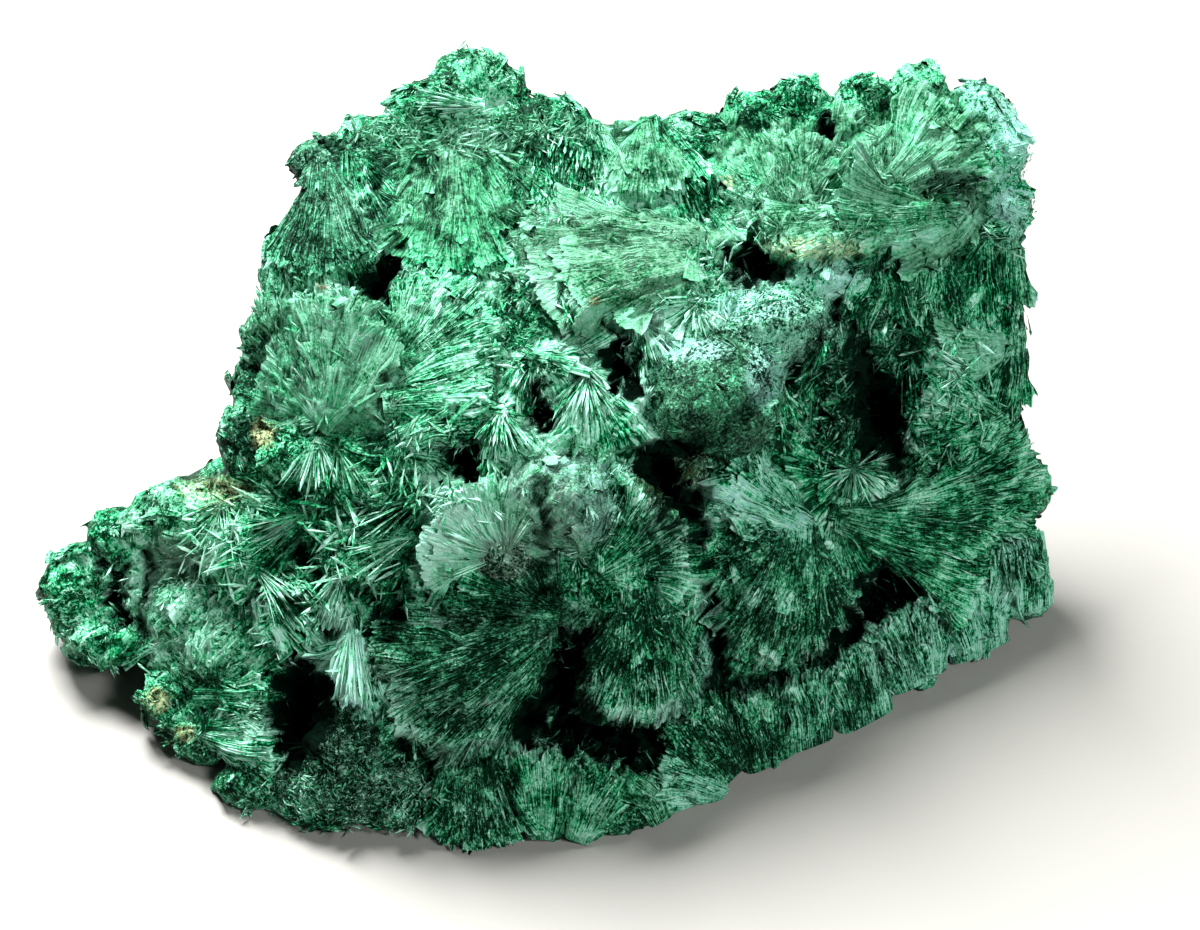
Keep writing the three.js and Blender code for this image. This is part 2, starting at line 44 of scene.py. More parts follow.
# The view that the show side is described from: u runs to the right, v up, w to the viewer.
MIDDLE = np.array([4.4, -7.1, 23.6])
PITCH = math.radians(45)
VIEW_DISTANCE = 200.0
TO_VIEWER = np.array([0.0, -math.cos(PITCH), math.sin(PITCH)])
SEEN_UP = np.array([0.0, math.sin(PITCH), math.cos(PITCH)])
LENS = 75.0
SENSOR_WIDTH = 36.0

# The show side follows four rough faces: rise, slope across, slope up.
FACES = [(6, 0, -0.5), (4.6, 0, 0.22), (6, -0.59, 0.235), (14, 0.6, 0.05)]
EDGE_ROUNDING = 1.2
CORE_DEPTH = 2.1
ROOT_DEPTH = 0.6

# How a surface looks: pale, frosted, dark, grey and cream shares, how much paler its rim is, how
# far it is grainy instead of fibrous, and how strong the relief of its fibres is.
# The pale looks on the fans that face up and the deep looks on the front are partly the crystals' own tone and partly
# painted light and shade.
LOOKS = {
    "deep": (0.06, 0.07, 0.22, 0.04, 0.0, 0.90, 0.45, 1.0),
    "emerald": (0.25, 0.03, 0.08, 0.0, 0.0, 0.50, 0.25, 0.95),
    "silk": (0.46, 0.08, 0.05, 0.10, 0.0, 0.45, 0.30, 0.8),
    "mint": (0.50, 0.08, 0.0, 0.35, 0.0, 0.40, 0.35, 0.3),
    "curtain": (0.29, 0.06, 0.04, 0.25, 0.0, 0.40, 0.35, 0.35),
    "matte": (0.56, 0.04, 0.0, 0.60, 0.0, 0.35, 0.60, 0.25),
    "frost": (0.50, 0.70, 0.0, 0.05, 0.0, 0.30, 0.60, 0.6),
    "bright": (0.85, 0.12, 0.0, 0.0, 0.0, 0.35, 0.05, 1.0),
    "white": (0.95, 0.70, 0.0, 0.0, 0.0, 0.20, 0.0, 1.0),
    "radial": (0.98, 0.14, 0.0, 0.20, 0.0, 0.25, 0.40, 0.5),
    "black": (0.12, 0.16, 0.32, 0.25, 0.0, 0.25, 1.0, 1.0),
    "brown": (0.15, 0.10, 0.25, 0.85, 0.0, 0.10, 1.0, 0.8),
    "granular": (0.04, 0.08, 0.16, 0.18, 0.0, 0.30, 0.8, 0.4),
    "bluish": (0.34, 0.40, 0.05, 0.30, 0.0, 0.30, 1.0, 0.5),
    "shaded": (0.10, 0.12, 0.20, 0.12, 0.0, 0.30, 0.30, 0.8),
    "grains": (0.45, 0.10, 0.10, 0.95, 0.0, 0.10, 1.0, 0.9),
    "skin": (0.06, 0.05, 0.34, 0.0, 0.0, 0.25, 0.7, 0.8),
    "tipped": (0.20, 0.16, 0.14, 0.0, 0.0, 0.70, 0.20, 1.0),
    "crusty": (0.42, 0.34, 0.10, 0.0, 0.0, 0.60, 0.25, 1.0),
}
LOOKS = {name: np.array(values) for name, values in LOOKS.items()}

# Fans and sheaves: name, narrow end, middle of the rim, half spread in degrees, thickness at the
# rim, roll in degrees, bulge, half width of the narrow end, look. A place is u, v and the lift
# over the rough face.
SHEAVES = [
    ("peak bundle", (-9.2, 28.6, 0.2), (-14.4, 28.3, 0.6), 3, 1.8, 0, 0, 0.9, "bright"),
    ("left shoulder edge", (-22.2, 24.8, -0.4), (-23.4, 15.6, 0.2), 8, 4, -8, 0.08, 1.2, "shaded"),
    ("left shoulder", (-22, 24, -0.4), (-20, 16, 0.6), 17, 3.2, 4, 0.06, 0.9, "shaded"),
    ("left shoulder trough", (-20, 25.2, -1.2), (-17, 17.8, -2.2), 15, 2.4, 12, 0, 0.9, "emerald"),
    ("top pale sheaf", (-11.5, 25.6, -0.2), (-10.8, 15.6, 0.6), 19, 3.6, 0, 0.03, 1.4, "curtain"),
    ("top pale sheaf left", (-14, 25.4, -0.8), (-15, 16.4, -0.8), 10, 3, -10, 0, 0.9, "curtain"),
    ("top pale sheaf right", (-9.6, 25.2, -0.3), (-4.6, 19.4, 0.2), 12, 2.6, 8, 0, 0.8, "curtain"),
    ("back fibres left", (-4.2, 27.2, -0.4), (-5, 20.8, -0.4), 20, 2.6, 0, 0, 1.4, "emerald"),
    ("back fibres middle", (-1, 27.6, -0.3), (-0.8, 20.8, -0.8), 14, 2.4, 4, 0, 1.2, "emerald"),
    ("tent", (3.6, 27.9, 0.6), (3.3, 21.7, 0.8), 28, 4.4, 0, 0.05, 0.6, "mint"),
    ("tent wing", (4.6, 27.4, 0.1), (7.6, 21.9, 0), 15, 2.6, 12, 0, 0.6, "emerald"),
    ("top matte fan", (8.4, 18, 0.4), (-6.2, 17.6, 1.7), 14, 5, -6, 0.03, 1.6, "matte"),
    ("top matte fan front", (7.4, 16.6, 0.6), (-3, 14.4, 2.2), 14, 4.6, 4, 0.04, 1.6, "matte"),
    ("top right small fan", (14, 20.6, 0), (11.4, 25, 0.6), 24, 2.6, 0, 0.04, 0.8, "mint"),
    ("top right fan", (15.8, 20.6, 0.2), (16.1, 26.8, 0.4), 26, 3, 0, 0.05, 0.8, "mint"),
    ("far right fan left", (22.2, 22.4, -0.5), (23.2, 26.8, 0), 22, 2.6, 0, 0.05, 0.8, "mint"),
    ("far right fan", (22.8, 22, 0.2), (29.6, 27.4, 0.2), 26, 3.4, 8, 0.05, 0.9, "mint"),
    ("right peak cone", (25.3, 30.6, -0.2), (25.2, 26.6, 0.6), 17, 3.2, 0, 0, 0.7, "mint"),
    ("right slab", (30.2, 30.2, -1.6), (33, 27.4, -2), 5, 2, 0, 0, 1.1, "frost"),
    ("pale ledge", (30, 20.2, -0.6), (19.4, 18.6, 1.2), 11, 3.4, -4, 0.03, 1.1, "mint"),
    ("pale ledge left", (22, 20.2, 0.4), (14, 17.9, 1.4), 21, 3.2, 0, 0.03, 1.2, "mint"),
    ("left pale fan", (-22.2, 3.4, 0.6), (-22, 13.9, 1.6), 27, 2.8, 0, -0.03, 0.9, "mint"),
    ("left pale fan right", (-20.6, 4, 0), (-16.6, 12.4, 0.6), 15, 2.4, 10, 0, 0.8, "mint"),
    ("centre left fan", (-16, 8.2, -0.4), (-10.2, 13.9, 1.2), 48, 3, 0, 0.03, 1, "silk"),
    ("centre left spray", (-17.4, 5.2, 0), (-8.8, 6.3, 0.6), 15, 2.6, 0, 0.03, 1.2, "silk"),
    ("centre left base", (-16, 2.2, -0.2), (-10.4, 4.2, 0), 24, 2.4, 0, 0.05, 1.2, "emerald"),
    ("left hanging blades", (-22.6, 2.2, -0.6), (-22, -2.4, 0), 20, 2.4, 0, 0, 0.8, "emerald"),
    ("left hanging blades right", (-21, 1.2, -0.6), (-19.2, -2.8, 0), 18, 2.4, 12, 0, 0.7, "emerald"),
    ("centre hanging spray", (-8, 4.2, 0), (-8, 0.4, -0.8), 30, 2.4, 0, 0, 0.8, "bright"),
    ("needle spray", (-1, 7.2, -1), (-1.7, 3, -0.6), 38, 2.6, 0, 0.05, 0.6, "bright"),
    ("needle spray left", (-5.4, 8.4, -1), (-4.6, 5, -1), 42, 2.2, 0, 0, 0.6, "bright"),
    ("needle spray right", (3.3, 11.4, -0.8), (4.8, 7.2, 0), 18, 2.8, 8, 0, 0.6, "bright"),
    ("needle star", (7.7, 12.8, -1), (7.2, 9.8, -1), 30, 2, 0, 0, 0.5, "bright"),
    ("hanging right 1", (22.8, 18.2, -0.8), (22.2, 11.6, -1.4), 18, 2.8, 0, 0.04, 1.3, "emerald"),
    ("hanging right 2", (27, 18.4, -0.8), (26.8, 11.4, -1), 17, 2.8, 6, 0.04, 1.3, "emerald"),
    ("hanging right 3", (30.6, 18.6, -0.6), (30.6, 11, -0.4), 15, 3, 10, 0.04, 1.1, "emerald"),
    ("right edge upper", (32.6, 18.6, -0.8), (33, 10.6, 0.4), 9, 3.2, 20, 0.04, 1, "emerald"),
    ("right edge lower", (33.2, 11, 0), (33, 3.4, 0.6), 9, 3.4, 16, 0.06, 1.2, "emerald"),
    ("right plates", (32.4, 9.4, 0.6), (27, 8.2, 0.6), 24, 3, 0, 0.03, 1.4, "mint"),
    ("right lower plates", (32.6, 3, 0.4), (26.2, 6.2, 0.8), 13, 2.6, -8, 0.03, 1, "emerald"),
    ("right recess fibres", (24.4, 10.6, -2.2), (20.4, 3.6, -2.8), 22, 2.4, 0, 0, 1.4, "deep"),
    ("star spray", (20.3, -0.2, -1.6), (20.5, -3.9, -1.2), 38, 1.8, 0, 0, 0.5, "bright"),
    ("star spray left", (20.3, -0.2, -1.6), (17, 0.4, -1.4), 34, 1.8, 0, 0, 0.5, "emerald"),
    ("right lobe fan", (23, -4.2, -0.6), (35.2, -0.8, 0.6), 17, 4.4, 4, 0.05, 1.2, "emerald"),
    ("right lobe upper", (24.4, 0.8, -0.6), (32.2, 1.8, 0.2), 15, 3, 8, 0.03, 1, "emerald"),
    ("right lower fan", (19, -4.2, 0.2), (31.4, -7, 0.8), 18, 4, -4, 0.05, 1.2, "emerald"),
    ("dark fan", (16.2, -4.2, 1.4), (13, -16, 0.6), 30, 5.6, 0, 0.1, 1.6, "deep"),
    ("dark fan top", (17.2, -5.2, 1.4), (9.8, -1.8, 1.6), 12, 2.6, 0, 0.04, 0.8, "crusty"),
    ("radial end", (-7.6, -7.4, 1), (-12.2, -2.8, 1.2), 76, 3.8, 0, 0, 0.8, "radial"),
    ("bright blade", (0, -8.6, 1.4), (6.2, -3.4, 0.6), 42, 3.4, 6, 0.06, 1.2, "emerald"),
    ("lower front fan", (3.2, -9.6, 0.6), (3.6, -20.8, 1.4), 31, 5.4, 0, 0.1, 1.6, "deep"),
    ("big lower fan", (-3.8, -13.2, 0.4), (-15.8, -20.8, 0.4), 28, 6, 0, 0.1, 1.6, "deep"),
    ("lower column", (-10.4, -21, 0), (-10.4, -30.6, 0.2), 21, 4.4, 0, 0.06, 1.8, "deep"),
    ("rim spray 1", (-4.6, -30, 0), (-4.4, -22.8, 0.2), 23, 3.2, 0, 0.04, 1.4, "silk"),
    ("rim spray 2", (-1.8, -30.2, 0), (0.4, -24.8, 0), 26, 3, 0, 0.04, 1.3, "silk"),
    ("rim spray 3", (5, -28.6, 0), (3.4, -25, -0.6), 24, 2.6, 0, 0.04, 1.2, "silk"),
    ("rim blue sheaf", (10, -26.4, 0.2), (5, -24.8, 0.2), 18, 2.6, 0, 0.04, 1, "crusty"),
    ("rim spray 4", (10.8, -25, 0), (7, -19.8, 0), 30, 3, 0, 0.05, 2.2, "deep"),
    ("rim spray 5", (14, -24, 0), (12.6, -18, 0), 27, 3.2, 0, 0.05, 2.4, "deep"),
    ("rim spray 6", (17, -22.6, 0), (16.2, -16.8, 0), 25, 3, 0, 0.05, 2.6, "tipped"),
    ("rim spray 7", (21.6, -20.8, 0), (20, -15.2, 0.2), 24, 3, 0, 0.05, 3.0, "tipped"),
    ("rim spray 8", (26, -17.4, 0.2), (24.2, -11, 0.2), 34, 3, 0, 0.05, 3.0, "crusty"),
    ("rim spray 9", (31, -15, 0), (29.6, -9.4, -0.2), 28, 3.2, 0, 0.05, 3.0, "crusty"),
    ("rim spray 10", (34.8, -11.6, 0.2), (34.2, -5.8, 0), 17, 3, 0, 0.05, 2.6, "crusty"),
    ("left low sheaf", (-32, -21.4, 0.4), (-26.5, -22.2, 0.4), 30, 2.8, 0, 0.04, 0.9, "bright"),
    ("left low spray", (-32.6, -18.6, 0.8), (-26.8, -19, 0.6), 13, 2, 0, 0, 0.8, "emerald"),
    ("bright hanging spray", (-19.8, -13.8, 0.8), (-19.8, -19.2, 0.6), 19, 2, 0, 0, 1.2, "white"),
    ("left blade", (-27.2, -8.4, -1.2), (-23.4, -12, 1), 13, 1.8, 8, 0, 0.7, "bright"),
    ("left blade leaning", (-20.6, -8.6, -1.2), (-22.3, -12.6, 1), 16, 1.8, -8, 0, 0.7, "bright"),
    ("left loose sheaf 1", (-14.6, -2.8, 0), (-19.6, -5.6, -0.2), 12, 2, 0, 0, 0.7, "emerald"),
    ("left loose sheaf 2", (-14.8, -5.6, 0), (-20, -8.2, -0.2), 13, 2, 0, 0, 0.7, "emerald"),
    ("left loose sheaf 3", (-23.6, -4, -1), (-28.8, -6.8, 0.6), 15, 2, 0, 0, 0.7, "emerald"),
    ("lower dark facet", (-3.4, -12.4, 0.4), (-11.8, -11.8, 0.2), 15, 3, 0, 0.04, 1.2, "deep"),
]

# Rounded lumps: name, middle u, v and the lift of the top, half sizes along u, v and w, look.
LUMPS = [
    ("peak", (-10, 29.8, 0.6), (4.2, 4, 3.8), "silk"),
    ("peak shoulder", (-14.2, 28, 0.2), (3.4, 3, 3.4), "emerald"),
    ("left shoulder knob", (-22.3, 24, -0.2), (2.9, 2.6, 3), "shaded"),
    ("left shoulder rim", (-25.4, 15, -0.8), (1.9, 4.2, 3), "silk"),
    ("back edge left", (-18.4, 25.6, 0), (2.6, 2.6, 3), "emerald"),
    ("back edge middle", (-4.6, 27.2, -0.2), (4.6, 2.3, 3.2), "emerald"),
    ("back edge right", (7.4, 26, -0.4), (3.4, 2.4, 3.2), "emerald"),
    ("hump", (16, 29, 0.2), (2.7, 2.6, 3.2), "emerald"),
    ("hump left", (12.4, 28, 0.1), (3, 2.2, 3), "emerald"),
    ("right knob", (21.2, 29.2, 0), (3, 2.3, 3), "emerald"),
    ("right peak", (25.6, 30.2, -0.2), (2.6, 2.2, 3), "silk"),
    ("right rim 1", (30.4, 28.4, -0.6), (2.4, 2.4, 3.4), "frost"),
    ("right rim 2", (32, 25, -0.2), (2.3, 3.2, 3.6), "frost"),
    ("right rim 3", (32.2, 20.6, 0.2), (2.4, 3.4, 3.8), "frost"),
    ("top saddle", (11.6, 20.6, 0.2), (3.2, 3.2, 3.2), "silk"),
    ("felted hollow", (-5.2, 11.6, -0.6), (4, 4.4, 3.4), "emerald"),
    ("small crystal knob", (7.6, 14.4, -0.2), (3.4, 2, 3), "bright"),
    ("round lump", (9, 5.4, 2.8), (5.6, 4.7, 5), "granular"),
    ("blue lump", (14.4, 10.8, 2.2), (4.9, 3.6, 4.4), "bluish"),
    ("bright knob", (18.2, 14.8, 0.8), (2.8, 1.4, 3), "bright"),
    ("left rim 1", (-26.8, 10.2, -1.4), (2.2, 2.8, 3), "deep"),
    ("left rim 2", (-27.2, 6.4, -1), (2.6, 3, 3.4), "deep"),
    ("left rim 3", (-28, 2, 0), (3, 3, 3.6), "deep"),
    ("left base", (-22.8, 0.6, 0), (4.4, 3, 3.6), "emerald"),
    ("left body 1", (-33.4, -4.6, 0.4), (5, 3.8, 4.4), "silk"),
    ("left body 2", (-27.6, -6.4, 0.2), (5, 5, 4.4), "emerald"),
    ("left body 3", (-32.8, -11.2, 0.6), (4.8, 4.6, 4.6), "silk"),
    ("left body 4", (-29, -14.8, 0.4), (4.6, 3.6, 4), "silk"),
    ("left cream knob", (-34.2, -18.8, 0.6), (2.9, 3, 3), "emerald"),
    ("left cream knob low", (-32.2, -21, 0), (2.3, 1.9, 2.6), "emerald"),
    ("left lobe top", (-38.6, -5.6, 0.4), (3.2, 2.6, 3.6), "emerald"),
    ("left lobe", (-41.2, -10, 0.4), (3.9, 4.6, 4.2), "emerald"),
    ("left lobe low", (-39.6, -14, 0.4), (3.4, 2.7, 3.6), "emerald"),
    ("hollow floor", (-18.4, -6.6, -1), (5.2, 5, 3.6), "emerald"),
    ("central lump", (-3, -2.6, 2.2), (5.4, 4.4, 4.8), "radial"),
    ("radial end spot", (-7.8, -7.6, 1.8), (1.9, 1.7, 1.8), "brown"),
    ("blade foot", (1.2, -8.8, 0.8), (4.4, 3.4, 3.6), "emerald"),
    ("dark fan shoulder", (11.4, -5.6, 1.2), (4, 4, 4.4), "deep"),
    ("right recess knob", (16.6, 3, -1.2), (3.6, 4, 3.4), "deep"),
    ("hanging lumps", (-17.4, -16.4, 0.8), (1.7, 1.6, 2), "brown"),
    ("black grains", (-20.4, -22, 0.2), (3.8, 3, 3.4), "black"),
    ("bottom grains left", (-21.2, -26.2, 0.6), (4.6, 2.9, 3.4), "black"),
    ("bottom grains right", (-16, -26.4, 0.4), (3.2, 3.2, 3.2), "black"),
    ("bottom left edge", (-27.6, -25.6, 0.4), (3.6, 2.7, 3.2), "deep"),
    ("left low edge", (-31.4, -22, 0), (2.8, 2.6, 3), "deep"),
    ("front left edge", (-22, -27.4, 0.2), (4, 1.9, 3), "deep"),
    ("right lobe rim", (34.4, -2, 0), (2, 3, 3.2), "silk"),
    ("right low rim", (34.6, -10, 0), (1.9, 3, 3), "silk"),
    ("rim knob 2", (1.4, -28.6, -0.2), (3.8, 2.2, 3), "deep"),
    ("rim knob 4", (25.4, -17.6, -0.4), (3, 1.6, 2.8), "deep"),
]

# Openings between the crystals: name, outline in u, v and depth below the rough face.
HOLLOWS = [
    ("upper left hole", ((-19.8, 14), (-15.8, 17.4), (-15.9, 15), (-17.2, 13.4), (-19, 13.1)), 7),
    ("top notch", ((16.8, 27.4), (17.6, 25.6), (19, 26), (18.6, 27.8)), 2.6),
    ("cleft under the ledge", ((9.8, 17.4), (15.2, 16.6), (14.4, 14.2), (10.6, 14.2)), 7),
    ("hollow by the needles", ((0.2, 9.6), (3.4, 9.4), (3, 5.4), (1, 5.8)), 6),
    ("hollow by the left spray", ((-5.6, 6.4), (-4.4, 6.2), (-3.8, 2.6), (-5.6, 3)), 6),
    ("hollow in the middle left", ((-12.6, 1.8), (-10, 2.2), (-9.6, -0.8), (-12, -1.2)), 6),
    ("right hollow", ((20.2, 7), (24, 6.6), (23.6, 1.6), (21.2, 1)), 7),
    ("middle notch", ((2.8, 0.4), (5.6, 0.6), (6.8, -3.6), (5.6, -4.8)), 4.5),
    ("right hole", ((24, -7.2), (20.8, -9), (20.2, -11.2), (18.4, -14.8), (22.4, -12.8), (26.4, -10.6)), 9),
    ("gap in the lower front", ((-4.2, -13.4), (-1.4, -13.4), (-1.4, -18.6), (-4, -18.8)), 8),
    ("long slot", ((-6.4, -19.4), (-1, -20.4), (5, -21.8), (4.6, -24.4), (0, -24), (-6, -23)), 8),
    ("left hole", ((-23, -15.8), (-20.9, -18.4), (-23, -22.6), (-25, -24.6), (-27.2, -23.2), (-26, -17.5)), 5.5),
    ("left lobe pit", ((-39.6, -7.8), (-37.6, -8), (-37.6, -12.2), (-39.2, -12.4)), 2),
]

# Crevices between the main forms, sunk and darkened with painted shade: depth, half width, places along it in u and v.
CREVICES = [
    (1.6, 0.9, ((-3.2, -18.8), (0, -20.8), (3.2, -21), (7.2, -18.8), (9.4, -16.2), (9.8, -14))),
    (1.5, 0.8, ((9.6, -18), (14.4, -17.2), (18.4, -14.8), (20.8, -12.4))),
    (1.2, 0.8, ((-16, -22.4), (-11.2, -23.6), (-6.4, -21.6), (-4.4, -18))),
    (1.6, 0.8, ((7.4, -2.8), (8, -6), (8.4, -9.2), (9.2, -14))),
    (1.2, 0.7, ((-14, -10.8), (-12.8, -12.6), (-8, -11.8), (-4.6, -10.4), (-4.6, -7.6), (-4.8, -2))),
    (1.4, 0.8, ((3.2, 1.2), (8, 1.6), (12.8, 5.2), (15.2, 7.6), (18.8, 12.6))),
    (1.2, 0.8, ((-16.8, -7.6), (-16, -10.8), (-17.2, -14))),
    (1.2, 0.6, ((12.8, 15.4), (18.4, 16), (24, 16), (28.8, 16.6))),
    (1.0, 0.8, ((20, 10.8), (22.4, 5.2), (24, -0.4))),
    (1.0, 0.7, ((-17.6, 24.4), (-17.8, 20.4), (-16.6, 17.4))),
    (1.0, 0.6, ((3.6, 12.2), (5.2, 9.4), (4.4, 6.4), (3.8, 2.6))),
    (1.4, 0.6, ((-27, -5.6), (-24, -6.8), (-22.4, -9))),
    (1.4, 0.6, ((-20.6, -9.8), (-18.4, -10.6), (-17.6, -12.6))),
    (1.4, 0.6, ((-25, -11), (-22.6, -12), (-21.4, -13.4))),
    (1.4, 0.6, ((-19.6, -3.6), (-17.2, -4.6), (-15.4, -4.2))),
    (1.2, 0.6, ((-36.4, -3.2), (-35.8, -6), (-36.6, -14))),
    (0.5, 0.35, ((9.8, -18.6), (11, -21.6))),
    (0.5, 0.35, ((14.4, -17.4), (15, -20.6))),
    (0.5, 0.35, ((18, -16), (18.8, -19.2))),
    (0.5, 0.35, ((21.8, -13.8), (23, -16.8))),
    (0.5, 0.35, ((27, -10.6), (28, -13.8))),
    (0.5, 0.35, ((32.2, -8), (32.8, -11))),
    (0.5, 0.35, ((-2, -23.4), (-2.8, -27.4))),
    (0.5, 0.35, ((2, -24.8), (2.1, -27.6))),
    (0.6, 0.4, ((-7.2, -23), (-7.4, -28))),
    (0.5, 0.35, ((-13.8, -23.6), (-13.8, -28))),
]

# Pale crusts along the rims of the main forms: amount, half width, places along it in u and v.
CRUSTS = [
    (0.6, 0.55, ((2.6, 3.2), (4.6, 7.6), (7.6, 10.6), (11.2, 12.8), (15.6, 14.2), (18.6, 13.6))),
    (0.5, 0.5, ((13.4, 4.6), (14.4, 7), (14.2, 9))),
    (0.5, 0.55, ((-0.6, -17.6), (1.6, -19.6), (4.8, -19.8), (8, -17.6), (9, -14.6))),
    (0.5, 0.55, ((-15.8, -15.4), (-17.2, -18.4), (-16, -21.2), (-12.6, -22.4), (-8.4, -21.4))),
    (0.6, 0.6, ((8.8, -1.6), (11.6, -2.4), (14.4, -4.6), (16.4, -5.6))),
    (0.5, 0.5, ((-14.2, -8), (-14, -4.4), (-11.6, -2.2), (-7.6, -2), (-5.6, -2.6))),
    (0.4, 0.5, ((12.8, 17), (17, 17.6), (22, 17.8), (27, 18.6), (30, 19.8))),
    (0.4, 0.5, ((-7.4, 17.2), (-5.6, 14.6), (-3.2, 13), (0.4, 12.2), (4.2, 12))),
    (0.4, 0.5, ((-7.2, 18.6), (-3, 20.4), (2, 21.2), (6.4, 21.4))),
    (0.4, 0.5, ((-25.4, 13.6), (-22.6, 14.2), (-20.2, 13.8))),
    (0.4, 0.5, ((-15.6, 15.6), (-12, 14.6), (-8.6, 14.8))),
    (0.4, 0.45, ((2.4, -0.6), (4.2, -4.4), (6.6, -8), (8.4, -11.6))),
    (0.4, 0.5, ((-7, -22.6), (-5.2, -21.8), (-2.4, -22.6), (0.8, -24.2))),
]

# Patches of another look: channel, middle u, v, half sizes in u and v, amount. The dark patches are partly the dark
# matrix and partly painted shade over shadowed places.
PATCHES = [
    ("cream", (-27.0, 2.6), (0.9, 1.2), 0.85),
    ("cream", (-35.4, -18.8), (0.9, 1.0), 0.75),
    ("cream", (-33.2, -21.4), (0.8, 0.7), 0.7),
    ("cream", (-31.0, -2.0), (3.0, 1.1), 0.35),
    ("cream", (17.2, 17.3), (4.2, 0.9), 0.4),
    ("cream", (10.3, 22.6), (0.4, 0.4), 0.8),
    ("rust", (-22.2, 14.4), (0.5, 0.6), 0.8),
    ("rust", (-0.4, 13.1), (0.5, 0.35), 0.7),
    ("dark", (5.6, -0.4), (3.0, 2.8), 0.3),
    ("rust", (5.6, -0.8), (2.8, 2.6), 0.35),
    # Takes back some of the painted shade in the left lobe pit.
    ("dark", (-38.4, -10.0), (1.7, 3.0), -0.4),
    ("dark", (5.2, -6.8), (2.4, 3.8), 0.34),
    ("dark", (-1.8, -2.8), (4.4, 4.0), 0.34),
    ("dark", (-11.0, -18.0), (6.4, 4.4), 0.16),
    ("dark", (-21.4, 20.0), (4.8, 5.4), 0.13),
    ("dark", (21.0, 22.6), (8.4, 4.6), 0.12),
    ("dark", (29.0, -1.6), (7.4, 5.0), 0.12),
    ("pale", (-41.0, -11.0), (3.6, 4.6), 0.2),
    ("dark", (28.2, 22.5), (2.2, 1.1), 0.45),
    ("pale", (29.6, 8.0), (3.6, 3.6), 0.3),
    ("frost", (29.6, 8.0), (3.6, 3.6), 0.2),
    ("pale", (31.0, -13.0), (6.0, 3.6), 0.36),
    ("frost", (31.0, -13.0), (6.0, 3.0), 0.25),
    ("pale", (3.6, -20.0), (4.6, 1.2), 0.4),
    ("pale", (-15.6, -20.4), (1.4, 3.4), 0.4),
    ("pale", (-13.6, -4.6), (1.0, 4.6), 0.3),
    ("dark", (-20.7, -21.6), (3.4, 2.4), 0.1),
    ("grey", (-34.0, -7.8), (2.6, 2.0), 0.9),
    ("grey", (-7.6, -7.4), (2.2, 1.7), 1.0),
    ("grey", (-17.4, -16.8), (1.7, 1.5), 0.9),
    ("grey", (-3.4, -3.3), (5.0, 3.8), 0.6),
    ("frost", (33.0, 24.0), (1.9, 4.6), 0.9),
    ("frost", (13.1, 7.2), (1.4, 2.5), 0.8),
    ("frost", (11.2, -2.4), (2.4, 1.1), 0.9),
    ("frost", (14.6, -4.4), (2.2, 1.0), 0.9),
    ("pale", (11.2, -2.4), (2.4, 1.0), 0.7),
    ("pale", (14.6, -4.4), (2.2, 0.9), 0.7),
    ("pale", (-20.0, -16.6), (1.7, 3.0), 1.2),
    ("frost", (-20.0, -16.6), (1.7, 3.0), 0.5),
    # Painted shade over the shadowed right recess.
    ("dark", (21.6, 6.6), (5.4, 7.4), 0.3),
    ("frost", (33.0, -6.9), (1.6, 1.2), 0.6),
    ("frost", (-0.2, -3.2), (1.7, 3.0), 0.6),
    ("frost", (8.7, -15.6), (1.1, 2.1), 0.5),
    ("frost", (18.2, 15.1), (3.5, 1.4), 0.7),
    ("frost", (12.4, 12.9), (3.8, 1.2), 1.0),
    ("frost", (7.6, 9.2), (3.0, 0.9), 0.8),
    ("frost", (-1.2, -0.4), (4.0, 1.0), 0.5),
    ("pale", (2.6, -3.0), (0.8, 2.0), 0.2),
    ("pale", (7.2, -11.4), (1.0, 2.2), 0.2),
    ("pale", (33.0, 24.0), (1.9, 4.6), 0.5),
    ("pale", (-22.0, 8.6), (4.0, 5.0), 0.26),
    ("pale", (-34.0, -9.0), (6.6, 7.0), 0.5),
    ("pale", (-11.0, -5.6), (3.4, 3.4), 0.3),
    ("pale", (-7.6, -22.6), (3.0, 1.0), 0.3),
    ("dark", (-2.0, 6.0), (4.5, 3.5), 0.16),
    ("dark", (4.0, -5.0), (2.6, 2.6), 0.2),
    ("dark", (-22.0, -26.0), (6.0, 3.0), 0.12),
    ("dark", (-0.6, -17.0), (1.2, 4.0), 0.4),
    ("dark", (-24.0, -19.6), (2.8, 4.2), 0.5),
]

